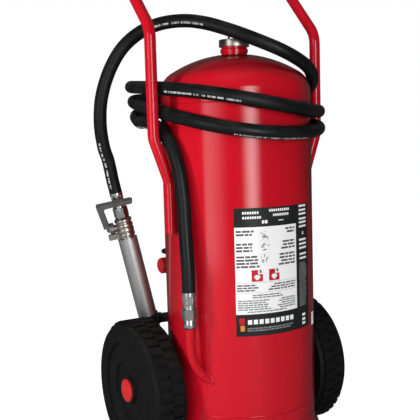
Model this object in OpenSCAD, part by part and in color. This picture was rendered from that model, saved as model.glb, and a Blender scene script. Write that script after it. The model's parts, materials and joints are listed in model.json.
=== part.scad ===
// Wheeled foam fire extinguisher, 50 litre class.
// Millimetres, +Z up, -Y is the labelled front. The origin lies on the vessel's axis at floor level.

/* [Vessel] */
// Outer diameter of the pressure vessel
vessel_d = 300; // [292:1:304]
// Wall of the shell and of its dished ends
vessel_wall = 3; // [2:0.5:5]
// Height of the lower girth weld above the floor
lower_weld_z = 112; // [108:1:124]
// Length of the shell between its two girth welds
shell_length = 598; // [590:1:606]
// Straight flange of a dished end, from its weld to its knuckle
flange_length = 20; // [16:1:24]
// Crown radius of the dished ends
crown_r = 240; // [228:1:252]
// Knuckle radius of the dished ends
knuckle_r = 46; // [42:1:50]
// Radius of the weld beads
bead_r = 1.6; // [1:0.1:2.4]

/* [Foot ring] */
// Wall of the foot ring
foot_wall = 3; // [2:0.5:4]
// Outer diameter of the flared foot
foot_d = 316; // [308:1:319]
// Height of the flared foot
foot_z = 50; // [40:1:55]
// Height of the flare above the foot
flare_h = 12; // [8:1:16]

/* [Filler] */
// Distance of the filler neck behind the vessel's axis
neck_y = 0; // [-6:1:6]
// Outer diameter of the filler neck
neck_d = 51; // [47:1:53]
// Bore of the filler neck
neck_bore_d = 38; // [32:1:42]
// Height of the neck above the crown of the vessel
neck_rise = 22.5; // [21:0.5:26]
// Height of the bulged collar at the foot of the neck
neck_collar_h = 10; // [8:1:11]
// Height of the filler cap
cap_h = 14.5; // [12:0.5:15]
// Thickness of the cap's top
cap_top = 4; // [3:0.5:6]
// Wall of the cap's skirt
cap_wall = 4.5; // [3:0.5:5]
// Thickness of the seal in the cap
seal_h = 1.6; // [1:0.1:2.5]
// Running clearance of the cap on the neck, on the radius
cap_clear = 0.06; // [0.02:0.01:0.1]
// Height of the relief pin on the cap
relief_h = 9; // [6:1:12]
// Diameter of the relief pin
relief_d = 4; // [3:0.5:6]
// Distance of the relief pin from the centre of the cap
relief_offset = 10; // [6:1:14]
// Direction of the relief pin from the centre of the cap
relief_turn = 150; // [0:5:355]

/* [Push handle] */
// Outer diameter of the handle tube
handle_d = 22; // [18:1:24]
// Wall of the handle tube
handle_wall = 2; // [1.5:0.5:3]
// Distance of the uprights from the middle plane
handle_x = 191; // [191:1:196]
// Distance of the uprights in front of the vessel's axis
handle_front = 12.5; // [8:0.5:16]
// Height of the lower end of the welded leg
handle_low_z = 464; // [440:1:480]
// Height at which the leg starts to spread
spread_low_z = 560; // [540:1:570]
// Height at which the spread ends
spread_high_z = 645; // [635:1:655]
// Height at which the uprights bend backwards
handle_bend_z = 850; // [830:1:860]
// Angle of the upper handle, backwards from the vertical
handle_lean = 44; // [35:1:50]
// Height of the grip bar
grip_z = 1000; // [960:1:1040]
// Bend radius of the handle tube
handle_bend_r = 50; // [40:1:60]
// Gap between a welded leg and the vessel
weld_gap = 0.05; // [0.02:0.01:0.2]

/* [Wheels] */
// Diameter of the tyres
wheel_d = 280; // [270:1:284]
// Width of the tyres
wheel_w = 66; // [60:1:70]
// Distance of the tyres' inner faces from the middle plane
wheel_inner_x = 161; // [161:1:168]
// Distance of the axles behind the vessel's axis
axle_y = 76; // [60:1:90]
// Height of the tyres above the floor while the foot ring stands on it
wheel_lift = 0.3; // [0:0.1:5]
// Number of lugs in each of the two rows of the tread
lugs = 40; // [24:1:48]
// Depth of the tread
tread_depth = 5; // [3:0.5:6]
// Width of a tread groove
groove_w = 8; // [6:0.5:10]
// Radius of the tyre's shoulders
shoulder_r = 8; // [5:1:12]
// Diameter of the rim under the tyre
rim_d = 196; // [180:1:210]
// Diameter of the recess in the wheel's face
recess_d = 118; // [100:1:130]
// Depth of the recess in the wheel's face
recess_depth = 3; // [1:0.5:5]
// Diameter of the hub barrel
hub_d = 60; // [50:1:70]
// Thickness of the rim's web
web_t = 16; // [10:1:24]
// Diameter of the hub cap
hub_cap_d = 46; // [42:1:56]
// Height of the domed hub cap above the hub
hub_cap_h = 7.5; // [5:0.5:10]

/* [Axles] */
// Diameter of the axles
axle_d = 20; // [16:1:22]
// Wall of the wheel bushes
bush_wall = 4; // [2.5:0.5:6]
// Running clearance of a bush on its axle, on the radius
axle_clear = 0.05; // [0.02:0.01:0.1]
// Diameter of the axle boss on the vessel
boss_d = 46; // [38:1:54]
// Diameter of the axle boss at the wheel
boss_tip_d = 32; // [28:1:36]
// Thickness of the axle washers
washer_t = 2; // [1.5:0.5:3]
// Side play of each wheel
wheel_play = 0.5; // [0.3:0.1:1]

/* [Outlet] */
// Distance of the riser's axis to the left of the vessel's axis
riser_x = 158; // [157:0.5:160]
// Distance of the riser's axis in front of the vessel's axis
riser_y = 72; // [66:1:78]
// Height of the corner of the outlet pipe's bend
outlet_z = 234; // [228:1:240]
// Direction of the outlet pipe, turned from straight right towards the front
outlet_turn = 6; // [0:1:12]
// Slope of the outlet pipe below the bend, downwards from the horizontal
outlet_slope = 60; // [56:1:62]
// Outer diameter of the outlet pipe
outlet_d = 18; // [16:0.5:21]
// Bore of the outlet pipe
outlet_bore_d = 12; // [8:0.5:14]
// Bend radius of the outlet pipe
outlet_bend_r = 110; // [90:5:120]
// Height of the top of the red pipe collar
collar_top_z = 286; // [276:1:296]
// Length of the red pipe collar
collar_h = 16; // [10:1:22]
// Diameter of the red pipe collar
collar_d = 21; // [20:0.5:24]
// Height of the union collar
union_h = 18; // [14:1:24]
// Diameter of the union collar
union_d = 25; // [24:0.5:27]
// Thickness of the union's washer
union_washer_t = 2.4; // [1.5:0.1:3]
// Width across the flats of the hose nuts
hose_nut_af = 27; // [24:1:30]
// Length of the lower hose nut
hose_nut_h = 19.5; // [14:0.5:24]
// Turn of the lower hose nut on its thread
outlet_nut_turn = 28; // [0:1:59]

/* [Hose] */
// Outer diameter of the hose
hose_d = 26; // [24:0.5:26.5]
// Length of the lower ferrule
ferrule_h = 31; // [24:1:36]
// Diameter of the ferrules at the nut
ferrule_tip_d = 23.6; // [22:0.2:25]
// Number of crimp marks round a ferrule
crimps = 8; // [6:1:12]
// Radius of the hose loops round the vessel
coil_r = 168; // [168:0.25:169]
// How far the first loop hangs out behind the vessel
coil_rear = 102; // [98:1:106]
// How much further each next loop hangs out behind
coil_rear_step = 7; // [6:0.5:8]
// How far the first loop hangs out to the sides behind the vessel
coil_bulge = 20; // [18:1:24]
// How much further each next loop hangs out to the sides
coil_bulge_step = 7; // [6:0.5:8]
// Rise of the hose in each loop
coil_pitch = 28; // [28:0.1:28.5]
// Mean height of the start of the loops
coil_z = 658.5; // [656:0.5:661]
// Height by which the loops rise and fall in each turn
coil_wave = 26.5; // [25:0.5:28]
// Extra rise of each loop at the front
coil_front_lift = 30; // [29:0.5:31]

/* [Lance and valve] */
// Outer diameter of the lance
lance_d = 40; // [32:1:42]
// Wall of the lance
lance_wall = 1.8; // [1:0.1:3]
// Length of the lance
lance_l = 300; // [260:1:320]
// Thickness of the closed upper end of the lance
lance_end_t = 8; // [5:1:12]
// Lean of the lance from the vertical, lower end inwards
lance_lean = 13.1; // [11:0.1:14]
// Diameter of the valve body
valve_d = 34; // [32:1:38]
// Length of the valve body above its ball
valve_up = 22; // [20:1:26]
// Length of the valve body below its ball
valve_down = 24; // [20:1:28]
// Diameter of the ball
ball_d = 24; // [20:0.5:25]
// Bore through the valve
valve_bore_d = 14; // [10:0.5:15]
// Diameter of the valve's stem
stem_d = 8; // [6:0.5:9]
// Running clearance of the ball and its stem, on the radius
valve_clear = 0.05; // [0.02:0.01:0.1]
// Length of the upper hose nut
valve_nut_h = 21; // [16:1:24]
// Length of the bare tail between the upper nut and its ferrule
tail_h = 7; // [4:1:10]
// Length of the upper ferrule
valve_ferrule_h = 24; // [20:1:28]
// Distance of the lever's cross grip from the stem
lever_l = 62; // [58:1:70]
// Angle of the closed lever from the hose, outwards
lever_rest = 25; // [23:1:35]
// Width of the lever's bars
lever_w = 10; // [8:0.5:12]
// Distance of the lever's side arm from the valve's axis
lever_side = 36; // [36:1:42]
// Reach of the cross grip beyond the valve's axis
lever_reach = 33; // [24:1:36]

/* [Lance clip] */
// Distance of the clip below the ball
clip_drop = 208; // [204:1:230]
// Height of the clip
clip_h = 24; // [16:1:30]
// Thickness of the clip
clip_t = 2.5; // [2:0.5:3]
// Width of the clip's mouth, as an angle
clip_mouth = 110; // [90:1:140]

/* [Gas bottle] */
// Diameter of the gas bottle
bottle_d = 100; // [90:1:104]
// Gap between the vessel and the gas bottle
bottle_gap = 5.5; // [5:0.5:10]
// Height of the bottle's foot above the floor
bottle_z = 80; // [76:1:90]
// Length of the bottle's straight body
bottle_l = 220; // [200:1:240]
// Height of the bottle's shoulder
bottle_shoulder = 26; // [20:1:32]
// Height of the lower band above the bottle's foot
band_low = 42; // [38:1:50]
// Height of the upper band above the bottle's foot
band_high = 180; // [150:1:190]
// Height of a band
band_h = 20; // [14:1:26]
// Thickness of a band
band_t = 2; // [1.5:0.5:3]
// Diameter of the band bolts
band_bolt_d = 6; // [5:1:8]
// Diameter of the bottle valve's body
gas_valve_d = 28; // [24:1:32]
// Height of the handwheel's axis above the bottle's shoulder
handwheel_rise = 34; // [30:1:40]
// Height of the gas outlet above the handwheel's axis
gas_outlet_rise = 33; // [32:1:40]
// Diameter of the handwheel
handwheel_d = 35; // [30:1:40]
// Thickness of the handwheel
handwheel_t = 20; // [14:1:22]
// Number of grips round the handwheel
handwheel_grips = 8; // [6:1:12]
// Diameter of the gas pipe
gas_pipe_d = 10; // [8:0.5:12]
// Bore of the gas pipe
gas_bore_d = 6; // [4:0.5:7]

/* [Hidden] */

$fn = 64;
// Overlap that carries a cutting tool past the face it opens
cut = 1;
// Gap left between pieces that rest on each other along a curve
seat = 0.05;

RED = [0.78, 0.05, 0.09];
BLACK = [0.06, 0.06, 0.065];
STEEL = [0.72, 0.73, 0.74];
NICKEL = [0.76, 0.68, 0.56];
GREY = [0.34, 0.34, 0.34];

vessel_r = vessel_d / 2;
upper_weld_z = lower_weld_z + shell_length;
upper_knuckle_z = upper_weld_z + flange_length;
lower_knuckle_z = lower_weld_z - flange_length;
crown_drop = sqrt(pow(crown_r - knuckle_r, 2) - pow(vessel_r - knuckle_r, 2));
crown_top_z = upper_knuckle_z - crown_drop + crown_r;

neck_top_z = crown_top_z + neck_rise;
neck_collar_d = neck_d + 4;
cap_r = neck_d / 2 + cap_clear + cap_wall;
cap_low_z = neck_top_z + seal_h + cap_top - cap_h + 0.3;
cap_top_z = cap_low_z + cap_h;

handle_r = handle_d / 2;
leg_x = sqrt(pow(vessel_r + handle_r + weld_gap, 2) - pow(handle_front, 2));
// Point where each upright hands over to the grip bar
joint_z = grip_z - 78;
function lean_y(z) = -handle_front + (z - handle_bend_z) * tan(handle_lean);
upright_points = [
    [leg_x, -handle_front, handle_low_z],
    [leg_x, -handle_front, spread_low_z],
    [handle_x, -handle_front, spread_high_z],
    [handle_x, -handle_front, handle_bend_z],
    [handle_x, lean_y(joint_z), joint_z]
];
crossbar_points = [
    [handle_x, lean_y(joint_z), joint_z],
    [handle_x, lean_y(grip_z), grip_z],
    [-handle_x, lean_y(grip_z), grip_z],
    [-handle_x, lean_y(joint_z), joint_z]
];

wheel_r = wheel_d / 2;
wheel_outer_x = wheel_inner_x + wheel_w;
axle_z = wheel_r + wheel_lift;
axle_r = axle_d / 2;
bush_bore_r = axle_r + axle_clear;
bush_r = bush_bore_r + bush_wall;
hub_inner_x = wheel_inner_x - 5;
hub_outer_x = wheel_outer_x - 2;
counterbore_r = hub_cap_d / 2 - 3;
counterbore_depth = 8;
hub_seat_x = hub_outer_x - counterbore_depth;
inner_washer_x = hub_inner_x - wheel_play - washer_t;
outer_washer_x = hub_seat_x + wheel_play;
ring_x = outer_washer_x + washer_t;
ring_t = 1.6;
ring_groove = 1.2;
axle_end_x = ring_x + ring_t + 2;
washer_r = axle_r + 6;

riser = [-riser_x, -riser_y, 0];
outlet_dir = [
    cos(outlet_turn) * cos(outlet_slope), -sin(outlet_turn) * cos(outlet_slope), -sin(outlet_slope)
];
union_z = collar_top_z;
union_washer_z = union_z + union_h;
outlet_nut_z = union_washer_z + union_washer_t;
ferrule_z = outlet_nut_z + hose_nut_h;
hose_start_z = ferrule_z + ferrule_h;
// Length of the outlet pipe from its bend's corner through the shell
outlet_run = 90;
outlet_points = [
    riser + [0, 0, collar_top_z],
    riser + [0, 0, outlet_z],
    riser + [0, 0, outlet_z] + outlet_dir * outlet_run
];
// Inner pickup pipe: from the end of the outlet pipe to just above the lowest point of the vessel
pickup_points = [
    outlet_points[2],
    outlet_points[2] + outlet_dir * 32,
    [-30, -30, 32]
];

hose_r = hose_d / 2;
ferrule_r = hose_r + 0.3;
// Free hose from the outlet up to the loops
riser_route = [
    [-158, -72, 357],
    [-158, -72, 390],
    [-157, -67, 430],
    [-156, -61, 480],
    [-155, -56, 530],
    [-157, -48, 580],
    [-161, -33, 622],
    [-165, -6, 652],
    [-168, 28, 670],
    [-168, 66, 676]
];
// Free hose from the loops over the dome and down to the valve
arch_route = [
    [170, 52, 730],
    [168, 6, 732],
    [162, -32, 741],
    [144, -65, 759],
    [117, -88, 776],
    [84, -99, 791],
    [49, -97, 807],
    [16, -84, 822],
    [-16, -62, 838],
    [-44, -37, 852],
    [-72, -9, 864],
    [-102, 20, 870],
    [-137, 50, 866],
    [-170, 76, 850],
    [-200, 96, 820],
    [-222, 112, 776],
    [-235, 124, 725],
    [-236, 133, 675],
    [-228, 140, 629],
    [-217, 145, 600]
];
// Turns of the loops, counted from the front
coil_start = 0.31;
coil_end = 2.70;
// Where a loop is highest, where it is lifted in front, and the turn from which it is lifted
coil_wave_turn = 160;
coil_lift_turn = 35;
coil_lift_from = 1.5;
rings_per_loop = 36;
loop_sides = 6;
hose_sides = 10;

valve_origin = [-184.5, 150, 462];
// Heading that brings the stem to the left of a viewer at the front left corner
valve_heading = -31.8;
valve_r = valve_d / 2;
ball_r = ball_d / 2;
stem_r = stem_d / 2;
valve_nut_z = valve_up;
tail_z = valve_nut_z + valve_nut_h;
valve_ferrule_z = tail_z + tail_h;
hose_end_z = valve_ferrule_z + valve_ferrule_h;
bonnet_x = valve_r + 4;
lever_hub_x = bonnet_x + 0.5;
lever_hub_t = 9;
lever_hub_r = 10;
stem_nut_t = 5;
stem_tip_x = lever_hub_x + lever_hub_t + stem_nut_t + 2;
lance_r = lance_d / 2;
lance_bore_r = lance_r - lance_wall;
jet_t = 12;

bottle_r = bottle_d / 2;
bottle_y = vessel_r + bottle_gap + bottle_r;
bottle_top_z = bottle_z + bottle_l + bottle_shoulder;
shelf_t = 4;
band_r = bottle_r + seat + band_t;
band_levels = [bottle_z + band_low, bottle_z + band_high];
handwheel_z = bottle_top_z + handwheel_rise;
gas_outlet_z = handwheel_z + gas_outlet_rise;
gas_valve_top_z = gas_outlet_z + 14;
spindle_r = 4;
bonnet_tip_x = 46;
handwheel_x = 59;
gas_nut_x = 46;
gas_nut_t = 14;
gas_bend_r = 14;
gas_line_x = gas_nut_x + gas_nut_t + gas_bend_r;

// ---------------------------------------------------------------- helpers

function unit(v) = v / norm(v);
function arc(centre, r, from, to, steps) =
    [for (i = [0:steps]) let (a = from + (to - from) * i / steps) centre + r * [cos(a), sin(a)]];

// Half profile of a dished end above its knuckle plane, inset from the outer surface
module dish_profile(inset) {
    centre_x = vessel_r - knuckle_r;
    tangent = atan2(crown_drop, centre_x);
    far = 2 * crown_r;
    intersection() {
        translate([0, -crown_drop]) circle(r = crown_r - inset, $fn = 256);
        polygon([[0, -crown_drop], [far * cos(tangent), far * sin(tangent) - crown_drop], [0, far]]);
    }
    intersection() {
        translate([centre_x, 0]) circle(r = knuckle_r - inset, $fn = 96);
        polygon([[centre_x, 0], [centre_x + far, 0], [centre_x + far, far * tan(tangent)]]);
    }
}

// Half profile of the closed vessel
module vessel_profile(inset) {
    translate([0, lower_knuckle_z]) square([vessel_r - inset, upper_knuckle_z - lower_knuckle_z]);
    translate([0, upper_knuckle_z]) dish_profile(inset);
    translate([0, lower_knuckle_z]) mirror([0, 1]) dish_profile(inset);
}

// Straight rod between two points
module rod(a, b, r) {
    v = b - a;
    translate(a)
        rotate([0, acos(v[2] / norm(v)), atan2(v[1], v[0])])
            cylinder(h = norm(v), r = r);
}

// Length that a bend takes from each of the two straights that it joins
function turn(a, b, c) = acos(unit(b - a) * unit(c - b));
function trim(points, i, bend_r) =
    i == 0 || i == len(points) - 1 ? 0 : bend_r * tan(turn(points[i - 1], points[i], points[i + 1]) / 2);

// Round bend of a tube at the corner b of the route a, b, c
module bend(a, b, c, bend_r, r) {
    u = unit(b - a);
    axis = unit(cross(u, unit(c - b)));
    outward = cross(u, axis);
    centre = b - u * bend_r * tan(turn(a, b, c) / 2) - outward * bend_r;
    multmatrix([
        [outward[0], u[0], axis[0], centre[0]],
        [outward[1], u[1], axis[1], centre[1]],
        [outward[2], u[2], axis[2], centre[2]]
    ])
        rotate_extrude(angle = turn(a, b, c)) translate([bend_r, 0]) circle(r = r);
}

// Tube core along a route of straights joined by round bends
module bent_rod(points, bend_r, r) {
    last = len(points) - 1;
    for (i = [0:last - 1]) {
        way = unit(points[i + 1] - points[i]);
        rod(points[i] + way * trim(points, i, bend_r),
            points[i + 1] - way * trim(points, i + 1, bend_r), r);
    }
    for (i = [1:last - 1]) bend(points[i - 1], points[i], points[i + 1], bend_r, r);
}

function stretched(points) = let (last = len(points) - 1) [
    for (i = [0:last])
        i == 0 ? points[0] - unit(points[1] - points[0]) * cut
        : i == last ? points[last] + unit(points[last] - points[last - 1]) * cut
        : points[i]
];

// Hollow tube, open at both ends
module bent_tube(points, bend_r, r, bore_r) {
    difference() {
        bent_rod(points, bend_r, r);
        bent_rod(stretched(points), bend_r, bore_r);
    }
}

// Rings of a tube's route: [point, heading] along the straights and round the bends
bend_steps = 5;
function bend_rings(a, b, c, bend_r) = let (
    u = unit(b - a),
    angle = turn(a, b, c),
    axis = unit(cross(u, unit(c - b))),
    outward = cross(u, axis),
    centre = b - u * bend_r * tan(angle / 2) - outward * bend_r
) [for (i = [0:bend_steps]) let (t = angle * i / bend_steps)
    [centre + bend_r * (cos(t) * outward + sin(t) * u), cos(t) * u - sin(t) * outward]];
function route_rings(points, bend_r) = let (last = len(points) - 1) concat(
    [[points[0], unit(points[1] - points[0])]],
    [for (i = [1:last - 1]) each bend_rings(points[i - 1], points[i], points[i + 1], bend_r)],
    [[points[last], unit(points[last] - points[last - 1])]]
);
function ring_corner(ring, k, sides, r, side) = let (
    n = unit(side - (side * ring[1]) * ring[1]),
    a = 360 * (k + 0.5) / sides
) ring[0] + r * (cos(a) * n + sin(a) * cross(ring[1], n));

// Hollow tube along a route of straights and round bends; side is a direction that no stretch runs along
module swept_tube(points, bend_r, r, bore_r, side, sides = 16) {
    rings = route_rings(points, bend_r);
    last = len(rings) - 1;
    inner = (last + 1) * sides;
    corners = [for (wall_r = [r, bore_r], ring = rings, k = [0:sides - 1])
        ring_corner(ring, k, sides, wall_r, side)];
    quads = concat(
        [for (i = [0:last - 1], k = [0:sides - 1]) let (k2 = (k + 1) % sides, a = i * sides)
            [a + k, a + k2, a + sides + k2, a + sides + k]],
        [for (i = [0:last - 1], k = [0:sides - 1]) let (k2 = (k + 1) % sides, a = inner + i * sides)
            [a + k, a + sides + k, a + sides + k2, a + k2]],
        [for (k = [0:sides - 1]) let (k2 = (k + 1) % sides)
            [k, inner + k, inner + k2, k2]],
        [for (k = [0:sides - 1]) let (k2 = (k + 1) % sides, a = last * sides)
            [a + k, a + k2, inner + a + k2, inner + a + k]]
    );
    faces = [for (q = quads, half = [0, 1]) half == 0 ? [q[0], q[2], q[1]] : [q[0], q[3], q[2]]];
    polyhedron(points = corners, faces = faces, convexity = 10);
}

module ring(r, bore_r, h) {
    difference() {
        cylinder(h = h, r = r);
        translate([0, 0, -cut]) cylinder(h = h + 2 * cut, r = bore_r);
    }
}

module hexagon(af, h) {
    cylinder(h = h, r = af / sqrt(3), $fn = 6);
}

module both_sides() {
    children();
    mirror([1, 0, 0]) children();
}

// Frame of a wheel: local +Z runs outwards along the axle from the middle plane
module on_right_axle() {
    translate([0, axle_y, axle_z]) rotate([0, 90, 0]) children();
}

module on_left_axle() {
    mirror([1, 0, 0]) on_right_axle() children();
}

// Frame of the lance: local +Z runs up the lance and the hose, the origin is the valve's ball
module in_lance_frame() {
    translate(valve_origin) rotate([0, -lance_lean, 0]) children();
}

// The same, turned so that the stem runs along -X and the lever swings out towards -Y
module in_valve_frame() {
    in_lance_frame() rotate([0, 0, valve_heading]) children();
}

// Solid of the vessel's outer surface, for pieces that are welded onto it
module vessel_envelope(gap = seat) {
    translate([0, 0, lower_knuckle_z])
        cylinder(h = upper_knuckle_z - lower_knuckle_z, r = vessel_r + gap, $fn = 192);
}

// ---------------------------------------------------------------- hose

function lance_up() = [-sin(lance_lean), 0, cos(lance_lean)];
hose_end = valve_origin + lance_up() * hose_end_z;
hose_end_straight = valve_origin + lance_up() * (hose_end_z + hose_d);

// Loops: they hug the vessel in front and hang out behind it
function coil_front(t) = pow((1 + cos(t - coil_lift_turn)) / 2, 3);
function coil_behind(t) = pow((1 - cos(t)) / 2, 2);
function coil_side(n, t) = cos(t) < 0 ? (coil_bulge + coil_bulge_step * n) * pow(cos(t), 2) : 0;
function coil_point(n) = let (t = 360 * n) [
    -(coil_r + coil_side(n, t)) * sin(t),
    -coil_r * cos(t) + (coil_rear + coil_rear_step * n) * coil_behind(t),
    coil_z + coil_pitch * n + coil_wave * cos(t - coil_wave_turn)
        + coil_front_lift * (n - coil_lift_from) * coil_front(t)
];
coil_steps = round((coil_end - coil_start) * rings_per_loop);
coil_path = [for (i = [0:coil_steps]) coil_point(coil_start + (coil_end - coil_start) * i / coil_steps)];

// Smooth curve through the points of a route, in even steps between its points
function spline_at(a, b, c, d, t) = 0.5 * (2 * b + (c - a) * t
    + (2 * a - 5 * b + 4 * c - d) * t * t + (3 * b - a - 3 * c + d) * t * t * t);
function spline(route, steps) = let (last = len(route) - 1) concat(
    [for (i = [0:last - 1], s = [0:steps - 1])
        spline_at(route[max(i - 1, 0)], route[i], route[i + 1], route[min(i + 2, last)], s / steps)],
    [route[last]]
);
riser_path = concat(
    [[-riser_x, -riser_y, hose_start_z]],
    spline(concat([for (i = [1:len(riser_route) - 1]) riser_route[i]], [coil_path[0]]), 2)
);
arch_path = concat(
    spline(concat([coil_path[coil_steps]], arch_route, [hose_end_straight]), 2),
    [hose_end]
);

// Direction of a path at one of its points
function heading(path, i) = let (last = len(path) - 1) unit(path[min(i + 1, last)] - path[max(i - 1, 0)]);
function end_heading(path, i, first, final) =
    i == 0 && !is_undef(first) ? first : i == len(path) - 1 && !is_undef(final) ? final : heading(path, i);
// Corner k of the ring round point i, held in the direction away from the middle of the dome
function ring_point(path, i, k, sides, r, first, final) = let (
    t = end_heading(path, i, first, final),
    away = path[i] - [0, 30, 600],
    n = unit(away - (away * t) * t),
    b = cross(t, n),
    a = 360 * (k + 0.5) / sides
) path[i] + r * cos(a) * n + r * sin(a) * b;

// Tube swept along a path; its end faces can be set square to a given direction
module swept_hose(path, sides, r, first = undef, final = undef) {
    last = len(path) - 1;
    points = [for (i = [0:last], k = [0:sides - 1]) ring_point(path, i, k, sides, r, first, final)];
    walls = [for (i = [0:last - 1], k = [0:sides - 1], half = [0, 1]) let (
        k2 = (k + 1) % sides,
        a = i * sides + k,
        b = i * sides + k2,
        c = (i + 1) * sides + k2,
        d = (i + 1) * sides + k
    ) half == 0 ? [a, c, b] : [a, d, c]];
    lids = [for (k = [1:sides - 2], far = [0, 1])
        far == 0 ? [0, k, k + 1] : [last * sides, last * sides + k + 1, last * sides + k]];
    polyhedron(points = points, faces = concat(walls, lids), convexity = 10);
}

coil_first = heading(coil_path, 0);
coil_final = heading(coil_path, coil_steps);
coil_gap = min([for (i = [0:coil_steps - rings_per_loop / 2], j = [i + rings_per_loop / 2:coil_steps])
    norm(coil_path[i] - coil_path[j])]) - hose_d;
echo(least_gap_between_hose_loops = coil_gap);

// ---------------------------------------------------------------- vessel

module vessel_shell() color(RED) {
    difference() {
        union() {
            rotate_extrude($fn = 128) difference() {
                vessel_profile(0);
                vessel_profile(vessel_wall);
            }
            for (z = [lower_weld_z, upper_weld_z])
                rotate_extrude($fn = 128) translate([vessel_r - bead_r / 2, z]) circle(r = bead_r, $fn = 16);
        }
        translate([0, neck_y, upper_weld_z]) cylinder(h = crown_top_z, r = neck_d / 2 + seat);
        rod(outlet_points[1] + outlet_dir * 20, outlet_points[2] + outlet_dir * cut, outlet_d / 2 + seat);
        translate([-gas_line_x, 0, gas_outlet_z]) rotate([-90, 0, 0]) cylinder(h = vessel_r + cut, r = gas_bore_d / 2);
    }
}

module foot_ring() color(RED) {
    knuckle_in = sqrt(pow(knuckle_r, 2) - pow(knuckle_r - foot_wall, 2));
    rotate_extrude($fn = 128) polygon([
        [vessel_r, lower_knuckle_z - knuckle_in * 0.43],
        [vessel_r, foot_z + flare_h],
        [foot_d / 2, foot_z],
        [foot_d / 2, 0],
        [foot_d / 2 - foot_wall, 0],
        [foot_d / 2 - foot_wall, foot_z - foot_wall / 2],
        [vessel_r - foot_wall, foot_z + flare_h - foot_wall / 2],
        [vessel_r - foot_wall, lower_knuckle_z - knuckle_in - 0.6]
    ]);
}

module pickup_pipe() color(STEEL)
    swept_tube(pickup_points, 30, outlet_d / 2 - 1, outlet_bore_d / 2, [0, 1, 0.3], 12);

// ---------------------------------------------------------------- filler

module filler_neck() color(RED) translate([0, neck_y, 0]) {
    low_z = crown_top_z - 14;
    difference() {
        union() {
            translate([0, 0, low_z]) cylinder(h = neck_top_z - low_z, r = neck_d / 2);
            translate([0, 0, crown_top_z + 2]) cylinder(h = neck_collar_h - 3, r = neck_collar_d / 2);
            translate([0, 0, crown_top_z + neck_collar_h - cut])
                cylinder(h = 1.5, r1 = neck_collar_d / 2, r2 = neck_d / 2);
        }
        translate([0, 0, low_z - cut]) cylinder(h = neck_top_z, r = neck_bore_d / 2);
    }
}

module filler_cap() color(NICKEL) translate([0, neck_y, 0]) {
    difference() {
        union() {
            translate([0, 0, cap_low_z]) cylinder(h = cap_h - 1, r = cap_r);
            translate([0, 0, cap_top_z - 1]) cylinder(h = 1, r1 = cap_r, r2 = cap_r - 1);
        }
        translate([0, 0, cap_low_z - cut]) cylinder(h = cap_h - cap_top + cut, r = neck_d / 2 + cap_clear);
        rotate(relief_turn) translate([relief_offset, 0, cap_low_z]) cylinder(h = cap_h + cut, r = relief_d / 4);
    }
}

module cap_seal() color(BLACK) translate([0, neck_y, cap_top_z - cap_top - seal_h])
    ring(neck_d / 2 - 0.5, neck_bore_d / 2, seal_h);

module cap_relief() color(BLACK) translate([0, neck_y, cap_top_z]) rotate(relief_turn) translate([relief_offset, 0, 0]) {
    cylinder(h = 2, r = relief_d / 2 + 1.5);
    cylinder(h = relief_h, r = relief_d / 2);
}

// ---------------------------------------------------------------- push handle

module upright() color(RED)
    swept_tube(upright_points, handle_bend_r, handle_r, handle_r - handle_wall, [1, -1, 0]);
module handle_right() upright();
module handle_left() mirror([1, 0, 0]) upright();
module handle_crossbar() color(RED)
    swept_tube(crossbar_points, handle_bend_r, handle_r, handle_r - handle_wall, [0, 1, -1]);

// ---------------------------------------------------------------- wheels

// Row of tread blocks between two distances along the axle
module lug_row(from, to, phase) {
    translate([0, 0, from]) linear_extrude(height = to - from) difference() {
        circle(r = wheel_r, $fn = 128);
        for (i = [0:lugs - 1]) rotate((i + phase) * 360 / lugs)
            translate([wheel_r - tread_depth, -groove_w / 2]) square([tread_depth * 2, groove_w]);
    }
}

module tyre() color(BLACK) {
    mid_x = (wheel_inner_x + wheel_outer_x) / 2;
    difference() {
        union() {
            lug_row(wheel_inner_x + shoulder_r, mid_x, 0);
            lug_row(mid_x, wheel_outer_x - shoulder_r, 0.5);
            translate([0, 0, wheel_inner_x])
                cylinder(h = shoulder_r, r1 = wheel_r - shoulder_r, r2 = wheel_r - tread_depth, $fn = 128);
            translate([0, 0, wheel_outer_x - shoulder_r])
                cylinder(h = shoulder_r, r1 = wheel_r - tread_depth, r2 = wheel_r - shoulder_r, $fn = 128);
        }
        translate([0, 0, wheel_inner_x - cut]) cylinder(h = wheel_w + 2 * cut, r = rim_d / 2 + seat, $fn = 128);
    }
}

module rim() color(BLACK) {
    mid_x = (wheel_inner_x + wheel_outer_x) / 2;
    face_x = wheel_outer_x - 3;
    difference() {
        union() {
            translate([0, 0, wheel_inner_x + 3]) ring(rim_d / 2, rim_d / 2 - 10, face_x - wheel_inner_x - 3);
            translate([0, 0, face_x - web_t]) cylinder(h = web_t, r = rim_d / 2 - 5);
            translate([0, 0, hub_inner_x]) cylinder(h = hub_outer_x - hub_inner_x, r = hub_d / 2);
            for (i = [0:5]) rotate(i * 60)
                translate([hub_d / 2 - 2, -3, mid_x - 18]) cube([(rim_d - hub_d) / 2 - 6, 6, 24]);
        }
        translate([0, 0, face_x - recess_depth]) ring(recess_d / 2, hub_d / 2, recess_depth + cut);
        translate([0, 0, hub_inner_x - cut]) cylinder(h = wheel_w + 20, r = bush_r + seat);
        translate([0, 0, hub_seat_x]) cylinder(h = wheel_w, r = counterbore_r);
    }
}

module bush() color(STEEL) translate([0, 0, hub_inner_x]) ring(bush_r, bush_bore_r, hub_seat_x - hub_inner_x);

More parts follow.
